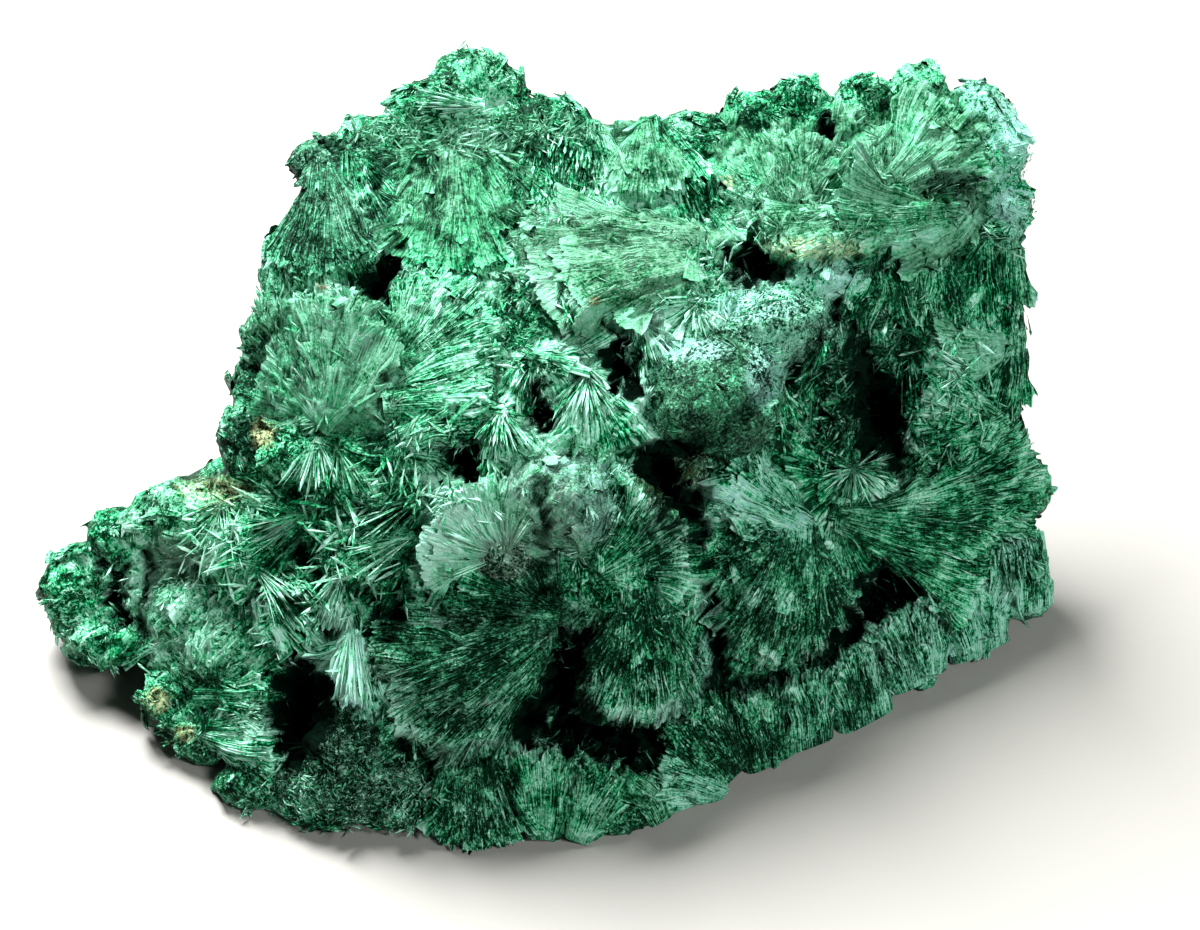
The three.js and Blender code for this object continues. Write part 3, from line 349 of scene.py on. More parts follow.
# Radial sprays of needles: middle (u, v, lift), heading and half spread in degrees as seen, needle
# length, number of needles, look.
SPRAYS = [
    ((-1.0, 7.4, -0.4), -92, 46, 5.2, 70, "bright"),
    ((-1.4, 6.8, -0.9), -70, 60, 4.0, 50, "emerald"),
    ((-5.4, 8.4, -0.6), -84, 54, 4.0, 50, "bright"),
    ((3.3, 11.4, -0.4), -68, 32, 5.4, 50, "bright"),
    ((7.7, 12.8, -0.4), -95, 62, 3.4, 50, "bright"),
    ((20.3, -0.2, 0.5), -70, 150, 3.6, 120, "bright"),
    ((-19.8, -13.0, 1.0), -90, 20, 6.0, 90, "white"),
    ((-9.2, 28.6, 0.6), 180, 9, 6.0, 60, "bright"),
    ((-27.2, -8.4, 0.4), -42, 22, 5.4, 40, "bright"),
    ((-20.6, -8.6, 0.4), -115, 22, 4.6, 40, "bright"),
    ((-14.6, -2.8, 0.4), 208, 20, 5.6, 50, "emerald"),
    ((-14.8, -5.6, 0.4), 206, 20, 6.0, 50, "silk"),
    ((-23.6, -4.0, 0.4), 208, 24, 5.6, 50, "silk"),
    ((-30.0, -3.0, 0.6), 250, 60, 4.0, 60, "emerald"),
    ((-22.6, 2.2, 0.2), -90, 34, 4.8, 60, "bright"),
    ((-21.0, 1.2, 0.2), -70, 34, 4.2, 50, "mint"),
    ((-8.0, 4.4, 0.2), -90, 38, 4.2, 60, "bright"),
    ((24.4, 10.6, -1.0), -115, 30, 7.0, 60, "emerald"),
    ((29.5, 7.6, 0.6), 180, 40, 5.0, 60, "bright"),
    ((-7.6, -7.4, 1.2), 120, 85, 5.0, 30, "radial"),
    ((0.4, 9.0, 0.4), -25, 40, 4.4, 40, "bright"),
]

# Felted zones of short crystals: middle u, v, half sizes, number, length range, look, the heading
# in degrees that they favour and how far they stray from it.
FELTS = [
    ((-24.0, -7.0), (9.0, 5.0), 420, (1.2, 4.4), "emerald", 215, 110),
    ((-29.0, -9.0), (8.0, 6.0), 500, (0.6, 1.8), "silk", 250, 110),
    ((-18.0, -7.6), (3.8, 5.0), 160, (1.6, 4.4), "bright", 230, 100),
    ((-10.0, 26.4), (10.0, 1.7), 700, (0.9, 2.4), "mint", 20, 90),
    ((-3.2, 23.4), (3.4, 3.4), 300, (1.2, 2.6), "emerald", 265, 20),
    ((10.2, 14.6), (3.6, 3.0), 500, (0.8, 2.0), "bright", 90, 90),
    ((-5.2, 11.6), (4.2, 4.4), 500, (1.0, 2.4), "emerald", 260, 80),
    ((22.8, 6.0), (9.0, 6.4), 700, (1.4, 3.8), "emerald", 240, 70),
    ((-13.6, 0.0), (5.0, 4.0), 400, (1.2, 3.0), "silk", 250, 70),
    ((-2.0, -3.0), (5.4, 4.4), 700, (0.4, 1.0), "radial", 90, 90),
    ((9.0, 5.4), (5.2, 4.4), 180, (0.3, 0.8), "granular", 90, 90),
    ((14.6, 11.4), (5.0, 3.2), 300, (0.3, 0.8), "bluish", 90, 90),
    ((33.0, 24.0), (2.0, 5.0), 500, (0.4, 0.9), "frost", 90, 90),
    ((4.0, -13.0), (5.0, 6.0), 600, (0.5, 1.6), "emerald", 265, 40),
    ((-20.0, -24.0), (7.0, 4.4), 900, (0.4, 1.2), "black", 90, 110),
    ((-20.0, -26.0), (8.0, 4.0), 500, (0.4, 1.1), "silk", 90, 110),
    ((-20.0, -27.0), (9.0, 3.0), 500, (0.5, 1.4), "emerald", 90, 110),
    ((-32.0, -19.6), (3.4, 3.4), 300, (0.4, 1.2), "silk", 90, 90),
    ((5.6, -0.8), (3.4, 3.4), 700, (0.4, 1.3), "grains", 90, 90),
    ((28.2, 22.5), (2.6, 1.4), 150, (0.4, 1.0), "black", 90, 90),
    ((4.0, -20.4), (5.0, 1.4), 260, (0.4, 1.1), "bright", 265, 60),
    ((9.6, 13.0), (8.0, 1.4), 240, (0.6, 1.6), "bright", 200, 60),
    ((20.0, 20.0), (10.0, 5.0), 600, (0.8, 2.0), "matte", 80, 50),
    ((0.0, 17.0), (8.0, 4.0), 700, (0.6, 1.8), "matte", 180, 40),
    ((-24.0, 10.0), (4.0, 6.0), 300, (0.8, 2.0), "mint", 100, 50),
]

LINING = "malachite_hollow_crystals"
NEEDLE_PIECES = ("malachite_needles", "malachite_felt")
NEEDLE_POINTS = 6

FIBRE_WIDTH = 0.3
FIBRE_RISE = 0.05
BUNDLE_WIDTH = 0.55
RIM_TEETH = 0.32
FLAKE_THICKNESS = 0.2
FLAKE_LAYERS = 3
ROW_SPACING = 0.5
VOXEL = 0.52
SCALE_COUNT = 1500
BACK_SCALE_COUNT = 1300
SHOW_DEPTH = 6.0
GAP_DEPTH = 0.7
GAP_ROUGHNESS = 1.3
CHANNELS = ("pale", "frost", "dark", "grey", "cream", "rust", "grain", "contrast")
GRAIN = CHANNELS.index("grain")
CONTRAST = CHANNELS.index("contrast")
RELIEF = 7


def face_depth(u, v):
    total = 0.0
    for rise, across, up in FACES:
        total = total + np.exp(-(rise + across * u + up * v) / EDGE_ROUNDING)
    return -EDGE_ROUNDING * np.log(total)


def from_view(u, v, w):
    scale = (VIEW_DISTANCE - w) / VIEW_DISTANCE
    right = np.asarray(u * scale)[..., None] * np.array([1.0, 0.0, 0.0])
    return MIDDLE + right + np.asarray(v * scale)[..., None] * SEEN_UP + np.asarray(w)[..., None] * TO_VIEWER


def to_view(points):
    from_middle = points - MIDDLE
    w = from_middle @ TO_VIEWER
    scale = (VIEW_DISTANCE - w) / VIEW_DISTANCE
    return from_middle[..., 0] / scale, from_middle @ SEEN_UP / scale, w


def on_face(u, v, lift):
    return from_view(u, v, face_depth(u, v) + lift)


def unit(vectors):
    return vectors / np.linalg.norm(vectors, axis=-1, keepdims=True)


def face_normal(u, v):
    step = 0.5
    across = on_face(u + step, v, 0.0) - on_face(u - step, v, 0.0)
    up = on_face(u, v + step, 0.0) - on_face(u, v - step, 0.0)
    return unit(np.cross(across, up))


def turned(vector, axis, angle):
    return vector * math.cos(angle) + np.cross(axis, vector) * math.sin(angle)


def smooth_step(low, high, x):
    share = np.clip((x - low) / (high - low), 0.0, 1.0)
    return share * share * (3 - 2 * share)


class Crystals:
    """Joined meshes, collected as arrays: points, triangles and what the materials read."""

    def __init__(self):
        self.points, self.triangles, self.strand, self.look = [], [], [], []
        self.count = 0

    def add(self, points, triangles, strand, look):
        self.points.append(points)
        self.triangles.append(triangles + self.count)
        self.strand.append(strand)
        self.look.append(look)
        self.count += len(points)


def grid_triangles(rows, columns):
    corner = (np.arange(rows - 1)[:, None] * columns + np.arange(columns - 1)[None, :]).ravel()
    lower = np.stack([corner, corner + 1, corner + columns + 1], -1)
    upper = np.stack([corner, corner + columns + 1, corner + columns], -1)
    return np.concatenate([lower, upper])


class Fan:
    """A fan of fibres that opens from its narrow end, closed all round."""

    def __init__(self, start, end, out, spread, thickness, narrow_thickness, bulge, narrow_width, look):
        along = end - start
        self.start = start
        self.length = float(np.linalg.norm(along))
        self.along = along / self.length
        self.out = unit(out - self.along * (out @ self.along))
        self.across = np.cross(self.along, self.out)
        self.spread = spread
        self.thickness = thickness
        self.narrow_thickness = narrow_thickness
        self.bulge = bulge
        self.narrow_width = narrow_width
        self.look = look
        self.bend = 0.16 * math.sin(37.0 * start[0] + 11.0 * start[2])

    def depth(self, share):
        return self.narrow_thickness + (self.thickness - self.narrow_thickness) * share

    def height(self, side, share, face=1.0):
        section = face * np.sqrt(np.clip(1 - np.abs(side) ** 6, 0, 1))
        swell = self.bulge * self.length * 4 * share * (1 - share)
        return (section - 1) * self.depth(share) / 2 + swell

    def place(self, side, share, height, stretch=1.0):
        reach = self.length * share * stretch
        angle = side * self.spread + self.bend * share * (share - 0.4)
        sideways = reach * np.sin(angle) + side * self.narrow_width * (1 - share)
        return (
            self.start
            + (reach * np.cos(angle))[..., None] * self.along
            + sideways[..., None] * self.across
            + np.asarray(height)[..., None] * self.out
        )

    def heading(self, side):
        angle = np.asarray(side * self.spread)[..., None]
        return np.cos(angle) * self.along + np.sin(angle) * self.across

    def rim_width(self):
        return 2 * (self.spread * self.length + 0.5 * self.narrow_width)

    def build(self, crystals, rng, layers=FLAKE_LAYERS, coarse=1.0):
        columns = int(np.clip(self.rim_width() / (FIBRE_WIDTH * coarse) * 2, 6, 150))
        rows = int(np.clip(self.length / (ROW_SPACING * coarse), 4, 30))
        side = np.linspace(-1, 1, columns)
        side[1:-1] += rng.uniform(-0.3, 0.3, columns - 2) * 2 / columns
        bundles = int(np.clip(self.rim_width() / BUNDLE_WIDTH, 3, 40))
        bundle = np.searchsorted(np.sort(rng.uniform(-1, 1, bundles - 1)), side)
        relief = self.look[RELIEF]
        bundle_rise = relief * rng.normal(0, 0.1, bundles)[bundle] * min(1.0, self.length / 8)
        bundle_reach = rng.normal(0, RIM_TEETH, bundles)[bundle] / self.length
        bundle_tone = rng.normal(0, 1, bundles)[bundle]
        fibre_reach = rng.normal(0, 0.12, columns) / self.length
        ridge = np.where(np.arange(columns) % 2 == 0, 1.0, -1.0) * rng.uniform(0.3, 1.0, columns)

        share = np.linspace(0, 1, rows)[:, None] + np.zeros(columns)
        share[1:-1] += rng.uniform(-0.3, 0.3, (rows - 2, columns)) / rows
        height = self.height(side, share) + np.sqrt(share) * (bundle_rise + relief * FIBRE_RISE * ridge)
        broken = np.zeros_like(share)
        for _ in range(layers):
            ends = rng.uniform(0.4, 1.25, bundles)[bundle] + rng.normal(0, 0.05, columns)
            broken = broken + smooth_step(ends, ends + 0.04, share)
        height = height - broken * (0.3 + 0.7 * relief) * FLAKE_THICKNESS * min(1.0, self.thickness / 3)
        stretch = 1 + (bundle_reach + fibre_reach) * share

        rim_fractions = np.array([0.12, 0.4, 0.75, 1.0] if coarse < 2 else [0.3, 1.0])[:, None]
        low = self.height(side, np.ones(columns), -1.0)
        rim_height = height[-1] * (1 - rim_fractions) + low * rim_fractions
        rim_stretch = stretch[-1] - 0.1 * rim_fractions**2 + rng.normal(0, 0.014, rim_height.shape)
        under_share = np.array([0.6, 0.0])[:, None] + np.zeros(columns)
        under_height = self.height(side, under_share, -1.0)

        shares = np.concatenate([share, np.ones_like(rim_height), under_share])
        heights = np.concatenate([height, rim_height, under_height])
        stretches = np.concatenate([stretch, rim_stretch, np.full_like(under_share, 0.9)])
        points = self.place(side, shares, heights, stretches).reshape(-1, 3)
        worn = np.array([noise.noise(p) for p in (points * 0.45).tolist()]) * 0.6
        worn += np.array([noise.noise(p) for p in (points * 1.3).tolist()]) * 0.35
        points += (worn * np.minimum(shares.ravel() * 2, 1) * min(1.0, self.thickness / 3))[:, None] * self.out
        sides = np.stack([shares * self.length * 0.55, 9 * np.sign(side) + 0 * shares, 0 * shares + self.start[0]], -1)
        sway = np.array([noise.noise(p) for p in sides.reshape(-1, 3).tolist()]) * min(1.6, 0.2 * self.length)
        points += (sway * (side**4 * np.minimum(shares * 2, 1)).ravel())[:, None] * self.across
        total = len(shares)

        look = full_look(self.look, (total, columns))
        rim_pale = smooth_step(0.8, 1.0, shares) * self.look[5]
        edge = np.zeros((total, 1))
        edge[rows:] = 1.0
        # Painted light and shade: the raised fibres of each ridge are paler and the grooves darker; the bundle tone is
        # the fibres' own variation.
        tone = 0.08 * ridge + 0.07 * bundle_tone
        look[..., 0] += relief * tone + rim_pale + 0.1 * relief * broken_rows(broken, total)
        look[..., 1] += 0.15 * rim_pale
        # Painted shade: darker towards the narrow end, where the fan sinks into the mass, and on the rim and underside
        # rows.
        look[..., 2] += 0.15 * smooth_step(0.35, 0.0, shares) + 0.1 * edge - 0.08 * relief * ridge
        strand = np.zeros((total, columns, 3))
        strand[..., 0] = side * self.rim_width() / 2
        strand[..., 1] = shares * self.length
        strand[rows:, :, 1] += np.arange(1, total - rows + 1)[:, None] * 0.4
        strand[..., 2] = rng.uniform(0, 100)
        crystals.add(
            points, grid_triangles(total, columns), strand.reshape(-1, 3), look.reshape(-1, len(CHANNELS))
        )


def full_look(values, shape):
    """The material's channels for a whole mesh, from the numbers of one look."""
    look = np.zeros((*shape, len(CHANNELS)))
    look[..., :5] = values[..., :5]
    look[..., GRAIN] = values[..., 6]
    look[..., CONTRAST] = values[..., RELIEF]
    return look


def broken_rows(broken, total):
    padded = np.zeros((total, broken.shape[1]))
    padded[: len(broken)] = broken
    return padded


def needles(crystals, base, heading, length, radius, values, rng, spread_tone=0.12):
    """Splinters: each is a four-sided spike on a long point, widest near its free end."""
    count = len(base)
    heading = unit(heading)
    side = unit(np.cross(heading, rng.normal(0, 1, (count, 3))))
    other = np.cross(heading, side)
    length = np.asarray(length)[:, None]
    radius = np.asarray(radius)[:, None]
    widest = base + heading * length * rng.uniform(0.62, 0.88, (count, 1))
    tip = base + heading * length + side * radius * rng.uniform(-0.6, 0.6, (count, 1))
    corners = [
        widest + side * radius,
        widest + other * radius * 0.6,
        widest - side * radius,
        widest - other * radius * 0.6,
    ]
    points = np.stack([base, *corners, tip], 1).reshape(-1, 3)
    one = np.array([[0, 2, 1], [0, 3, 2], [0, 4, 3], [0, 1, 4], [5, 1, 2], [5, 2, 3], [5, 3, 4], [5, 4, 1]])
    triangles = (one[None] + 6 * np.arange(count)[:, None, None]).reshape(-1, 3)
    values = np.broadcast_to(values, (count, np.shape(values)[-1]))[:, None, :]
    tone = rng.normal(0, spread_tone, (count, 1))
    shares = np.array([0.0, 0.75, 0.75, 0.75, 0.75, 1.0])
    look = full_look(values, (count, 6))
    look[..., 0] += tone + values[..., 5] * shares
    # Painted shade: each splinter is darker towards its base, where it meets what it grows from.
    look[..., 2] += 0.25 * (1 - shares)
    strand = np.zeros((count, 6, 3))
    strand[..., 0] = np.array([0.0, 0.05, 0.1, 0.15, 0.2, 0.1])
    strand[..., 1] = shares * length
    strand[..., 2] = rng.uniform(0, 100, (count, 1))
    crystals.add(points, triangles, strand.reshape(-1, 3), look.reshape(-1, len(CHANNELS)))


def main_fan(row):
    name, narrow, rim, spread, thickness, roll, bulge, narrow_width, look = row
    start = on_face(*narrow)
    end = on_face(*rim)
    out = face_normal((narrow[0] + rim[0]) / 2, (narrow[1] + rim[1]) / 2)
    along = unit(end - start)
    out = unit(out - along * (out @ along))
    out = turned(out, along, math.radians(roll))
    narrow_thickness = max(0.45 * thickness, narrow[2] + CORE_DEPTH + ROOT_DEPTH)
    return Fan(start, end, out, math.radians(spread), thickness, narrow_thickness, bulge, narrow_width, LOOKS[look])


def smaller_fans(fan, rng):
    """Thin overlapping fans that lie on a main one."""
    found = []
    relief = fan.look[RELIEF]
    count = int(np.clip(fan.rim_width() * fan.length / 10 * (0.2 + 0.8 * relief), 1, 9))
    for side in np.linspace(-0.8, 0.8, count) + rng.uniform(-0.15, 0.15, count):
        share = rng.uniform(0.0, 0.5)
        stretch = rng.uniform(0.55, 1.03)
        lift = rng.uniform(-0.1, 0.16) * (0.3 + 0.7 * relief)
        base = fan.place(np.array(side), share, fan.height(side, share) - 0.15)
        tip = fan.place(np.array(side), 1.0, fan.height(side, 1.0) + lift)
        tip = base + (tip - base) * stretch + fan.across * rng.normal(0, 0.05) * fan.length
        out = turned(fan.out, fan.along, -0.12 * side + rng.normal(0, 0.06))
        found.append(
            Fan(
                base, tip, out, math.radians(rng.uniform(12, 26)), rng.uniform(0.3, 0.6), 0.4,
                rng.uniform(0.0, 0.03), rng.uniform(0.2, 0.5), fan.look,
            )
        )
    return found


def side_fans(fan, rng):
    """Lower fans beside a main one, from the same narrow end, so that it merges with the rest."""
    found = []
    for sign in (-1, 1):
        angle = sign * (fan.spread + math.radians(rng.uniform(4, 12)))
        direction = math.cos(angle) * fan.along + math.sin(angle) * fan.across
        length = fan.length * rng.uniform(0.7, 0.95)
        start = fan.start - fan.out * rng.uniform(0.5, 0.9)
        end = start + direction * length - fan.out * rng.uniform(0.2, 0.7)
        found.append(
            Fan(
                start, end, turned(fan.out, fan.along, -0.12 * sign), fan.spread * rng.uniform(0.6, 0.9),
                fan.thickness * 0.7, fan.narrow_thickness * 0.7, fan.bulge, fan.narrow_width, fan.look,
            )
        )
    return found


def fan_needles(crystals, fan, rng):
    """Loose splinters over a fan and a fringe of broken ends along its rim."""
    over = int(fan.rim_width() * fan.length * 0.5 * fan.look[RELIEF])
    side = rng.uniform(-0.9, 0.9, over)
    share = rng.uniform(0.15, 0.85, over)
    base = fan.place(side, share, fan.height(side, share) - 0.05)
    heading = fan.heading(side) + fan.out * rng.uniform(0.02, 0.16, over)[:, None]
    heading = heading + fan.across * rng.normal(0, 0.06, over)[:, None]
    length = rng.uniform(0.15, 0.4, over) * fan.length * (1 - 0.5 * share)
    needles(crystals, base, heading, length, rng.uniform(0.05, 0.11, over), fan.look, rng)

    fringe = int(fan.rim_width() / 0.16)
    side = rng.uniform(-0.97, 0.97, fringe)
    share = rng.uniform(0.86, 0.96, fringe)
    sunk = rng.uniform(0.0, 0.6, fringe) * fan.depth(share) * 0.5
    base = fan.place(side, share, fan.height(side, share) - sunk)
    heading = fan.heading(side) + fan.out * rng.normal(0.05, 0.12, fringe)[:, None]
    length = rng.uniform(0.4, 1.1, fringe) * (0.4 + 0.6 * fan.look[RELIEF])
    needles(crystals, base, heading, length, rng.uniform(0.06, 0.13, fringe), fan.look, rng)


def seen_heading(u, v, angle):
    """A direction along the rough face that looks turned by an angle from the right."""
    step = 0.4
    return unit(on_face(u + step * np.cos(angle), v + step * np.sin(angle), 0.0) - on_face(u, v, 0.0))


def radial_spray(crystals, row, rng):
    (u, v, lift), heading, half_spread, length, count, look = row
    angle = np.radians(heading + half_spread * rng.uniform(-1, 1, count))
    normal = face_normal(u, v)
    flat = seen_heading(np.full(count, u), np.full(count, v), angle)
    tilt = rng.uniform(-0.25, 0.5, count)[:, None]
    base = on_face(np.full(count, u), np.full(count, v), lift - 0.4) + rng.normal(0, 0.12, (count, 3))
    lengths = length * rng.uniform(0.55, 1.08, count)
    needles(crystals, base, flat + normal * tilt, lengths, rng.uniform(0.06, 0.14, count), LOOKS[look], rng, 0.2)


def felt(crystals, row, surface, rng):
    """Short crystals that lie over one another in a patch of the show side."""
    (u, v), (half_u, half_v), count, (short, long), look, favoured, stray = row
    us, vs, ws = surface.seen
    inside = ((us - u) / half_u) ** 2 + ((vs - v) / half_v) ** 2 < 1
    found = np.flatnonzero(inside & surface.shown)
    if len(found) == 0:
        return
    chosen = rng.choice(found, count)
    base = surface.points[chosen] + rng.normal(0, 0.2, (count, 3))
    angle = np.radians(favoured + stray * rng.normal(0, 0.6, count))
    flat = seen_heading(us[chosen], vs[chosen], angle)
    normal = surface.normals[chosen]
    heading = flat - normal * np.sum(flat * normal, -1, keepdims=True)
    heading = unit(heading) + normal * rng.uniform(0.0, 0.55, count)[:, None]
    length = rng.uniform(short, long, count)
    base = base - unit(heading) * 0.25 * length[:, None]
    radius = 0.04 + 0.04 * length * rng.uniform(0.5, 1.5, count)
    needles(crystals, base, heading, length, radius, LOOKS[look], rng, 0.2)


def small_sprays(crystals, surface, rng, count=700, each=8):
    """Tiny radiating tufts all over the show side."""
    found = np.flatnonzero(surface.shown & (surface.normals @ TO_VIEWER > 0.4))
    chosen = rng.choice(found, count)
    middle = np.repeat(surface.points[chosen], each, 0)
    normal = np.repeat(surface.normals[chosen], each, 0)
    axis = np.repeat(unit(rng.normal(0, 1, (count, 3))), each, 0)
    heading = axis - 0.8 * normal * np.sum(axis * normal, -1, keepdims=True)
    heading = unit(heading) + 0.15 * normal + rng.normal(0, 0.28, (count * each, 3))
    length = np.repeat(rng.uniform(0.9, 2.4, count), each) * rng.uniform(0.7, 1.1, count * each)
    looks = np.repeat(surface.values[chosen], each, 0)
    needles(crystals, middle - 0.2 * normal, heading, length, 0.035 * length + 0.04, looks, rng, 0.2)


def hollow_crystals(crystals, surface, rng, count=900):
    """Crystals that line the hollows and reach in over their edges."""
    u, v, w = surface.seen
    found = np.flatnonzero(in_hollow(u, v, w, 1.45) & (face_depth(u, v) - w < 7))
    chosen = rng.choice(found, count)
    normal = surface.normals[chosen]
    heading = normal * rng.uniform(0.2, 1.0, (count, 1)) + unit(rng.normal(0, 1, (count, 3)))
    length = rng.uniform(0.8, 2.6, count)
    # Painted shade: the lining is darker than the surface it grows from.
    looks = surface.values[chosen] + np.array([0, 0, 0.2, 0, 0, 0, 0, 0])
    needles(crystals, surface.points[chosen] - 0.3 * normal, heading, length, 0.05 + 0.03 * length, looks, rng, 0.2)


def scales(crystals, surface, rng, shown, count):
    """Small flat fans that cover the body like scales, along the fibres of what they lie on."""
    covered = (surface.shown == shown) & (surface.values[:, GRAIN] < 0.75) & (surface.points[:, 2] > 0.8)
    found = np.flatnonzero(covered & (np.abs(surface.normals @ TO_VIEWER) > 0.2))
    for chosen in rng.choice(found, count):
        normal = surface.normals[chosen]
        heading = surface.headings[chosen] + rng.normal(0, 0.25 if shown else 0.6, 3)
        heading = unit(heading - normal * (heading @ normal)) + normal * rng.uniform(-0.02, 0.14)
        length = rng.uniform(1.4, 3.6)
        start = surface.points[chosen] - heading * length * 0.5 + normal * 0.1
        out = turned(normal, unit(heading), rng.normal(0, 0.15))
        end = start + heading * length
        if max(surface.tree.find(Vector(start))[2], surface.tree.find(Vector(end))[2]) > 0.7:
            continue
        scale = Fan(
            start, end, out, math.radians(rng.uniform(5, 16)), rng.uniform(0.25, 0.5), 0.3,
            rng.uniform(0.0, 0.04), rng.uniform(0.15, 0.5), surface.values[chosen],
        )
        scale.build(crystals, rng, layers=1, coarse=2.2)


def inside_outline(u, v, outline):
    """Whether places lie inside an outline, whose edge is made ragged."""
    inside = np.zeros(np.shape(u), bool)
    u, v = u + ragged(u, v, 0.0), v + ragged(v, u, 2.0)
    for (u0, v0), (u1, v1) in zip(outline, outline[1:] + outline[:1]):
        crosses = (v0 > v) != (v1 > v)
        slope = np.where(v1 == v0, 1e-9, v1 - v0)
        inside ^= crosses & (u < (u1 - u0) * (v - v0) / slope + u0)
    return inside


def ragged(a, b, start):
    return 0.45 * np.sin(2.3 * b + 1.1 * a + start) + 0.3 * np.sin(5.1 * b - 3.7 * a + 2 * start)


def in_hollow(u, v, w, widening=1.15):
    """Which places lie in one of the hollows, a little below the rough face."""
    found = np.zeros(np.shape(u), bool)
    for _, outline, _ in HOLLOWS:
        middle_u = sum(p[0] for p in outline) / len(outline)
        middle_v = sum(p[1] for p in outline) / len(outline)
        wider = [(middle_u + widening * (a - middle_u), middle_v + widening * (b - middle_v)) for a, b in outline]
        found |= inside_outline(u, v, wider)
    return found & (w < face_depth(u, v) - 0.8)


def line_distance(u, v, line):
    nearest = np.full(np.shape(u), 1e9)
    u, v = u + 0.5 * ragged(u, v, 1.0), v + 0.5 * ragged(v, u, 3.0)
    for (u0, v0), (u1, v1) in zip(line, line[1:]):
        share = ((u - u0) * (u1 - u0) + (v - v0) * (v1 - v0)) / ((u1 - u0) ** 2 + (v1 - v0) ** 2)
        share = np.clip(share, 0, 1)
        nearest = np.minimum(nearest, np.hypot(u - u0 - share * (u1 - u0), v - v0 - share * (v1 - v0)))
    return nearest


def sunk_into_crevices(points, look):
    u, v, w = to_view(points)
    near = smooth_step(7.0, 4.0, face_depth(u, v) - w)
    for depth, half_width, line in CREVICES:
        inside = smooth_step(half_width * 1.5, half_width * 0.3, line_distance(u, v, line)) * near
        w = w - depth * inside
        # Painted shade: the crevice is darkened as well as sunk.
        look[:, 2] += 0.3 * inside
    return from_view(u, v, w)


def over_hollows(points):
    """Which points lie in or over the mouth of a hollow."""
    u, v, w = to_view(points)
    found = np.zeros(len(points), bool)
    for _, outline, depth in HOLLOWS:
        middle_u = sum(p[0] for p in outline) / len(outline)
        middle_v = sum(p[1] for p in outline) / len(outline)
        found |= inside_outline(u, v, outline) & (w > face_depth(middle_u, middle_v) - depth)
    return found


def add_patches(points, look):
    """Adds the stains, frost and dark areas of each patch, some of them painted shade, and paints shade along the
    hollows' rims and over what lies deep.
    """
    u, v, w = to_view(points)
    below = face_depth(u, v) - w
    near = smooth_step(7.0, 4.0, below)
    for amount, half_width, line in CRUSTS:
        crust = amount * smooth_step(half_width * 1.6, half_width * 0.4, line_distance(u, v, line)) * near
        look[:, 0] += crust
        look[:, 1] += 0.5 * crust
        look[:, 2] -= 0.4 * crust
    for channel, (pu, pv), (half_u, half_v), amount in PATCHES:
        far = ((u - pu) / half_u) ** 2 + ((v - pv) / half_v) ** 2
        look[:, CHANNELS.index(channel)] += amount * smooth_step(1.5, 0.4, far) * near
    # Painted shade: darker along the rims of the hollows.
    for _, outline, _ in HOLLOWS:
        look[:, 2] += 0.3 * smooth_step(0.9, 0.0, line_distance(u, v, outline + outline[:1])) * near
    # Painted shade: the deeper a point lies below the rough face, the darker it is.
    look[:, 2] += (0.3 * smooth_step(0.7, 2.4, below) + 0.4 * smooth_step(2.0, 5.0, below)) * near


def make_object(name, points, triangles, strand, look, smooth, material):
    mesh = bpy.data.meshes.new(name)
    mesh.from_pydata((points * MM).tolist(), [], triangles.tolist())
    mesh.polygons.foreach_set("use_smooth", np.full(len(mesh.polygons), smooth))
    for attribute, values in (("strand", strand), ("tone", look[:, 0:3]), ("stain", look[:, 3:6])):
        layer = mesh.attributes.new(attribute, "FLOAT_VECTOR", "POINT")
        layer.data.foreach_set("vector", np.ascontiguousarray(values, np.float32).ravel())
    for attribute, channel in (("grain", GRAIN), ("contrast", CONTRAST)):
        layer = mesh.attributes.new(attribute, "FLOAT", "POINT")
        layer.data.foreach_set("value", np.ascontiguousarray(look[:, channel], np.float32))
    mesh.materials.append(material)
    mesh.update()
    piece = bpy.data.objects.new(name, mesh)
    bpy.context.scene.collection.objects.link(piece)
    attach(piece, "root")
    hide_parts(NODE)
    return piece


def finish_crystals(name, crystals, material):
    points = np.concatenate(crystals.points)
    look = np.concatenate(crystals.look)
    triangles = np.concatenate(crystals.triangles)
    if name != LINING:
        cut = over_hollows(points)
        if name in NEEDLE_PIECES:
            cut = np.repeat(cut.reshape(-1, NEEDLE_POINTS).any(1), NEEDLE_POINTS)
        triangles = triangles[~cut[triangles].any(1)]
    points = sunk_into_crevices(points, look)
    points[:, 2] = np.maximum(points[:, 2], 0.05)
    add_patches(points, look)
    used, corners = np.unique(triangles, return_inverse=True)
    strand = np.concatenate(crystals.strand)
    return make_object(name, points[used], corners.reshape(-1, 3), strand[used], look[used], False, material)


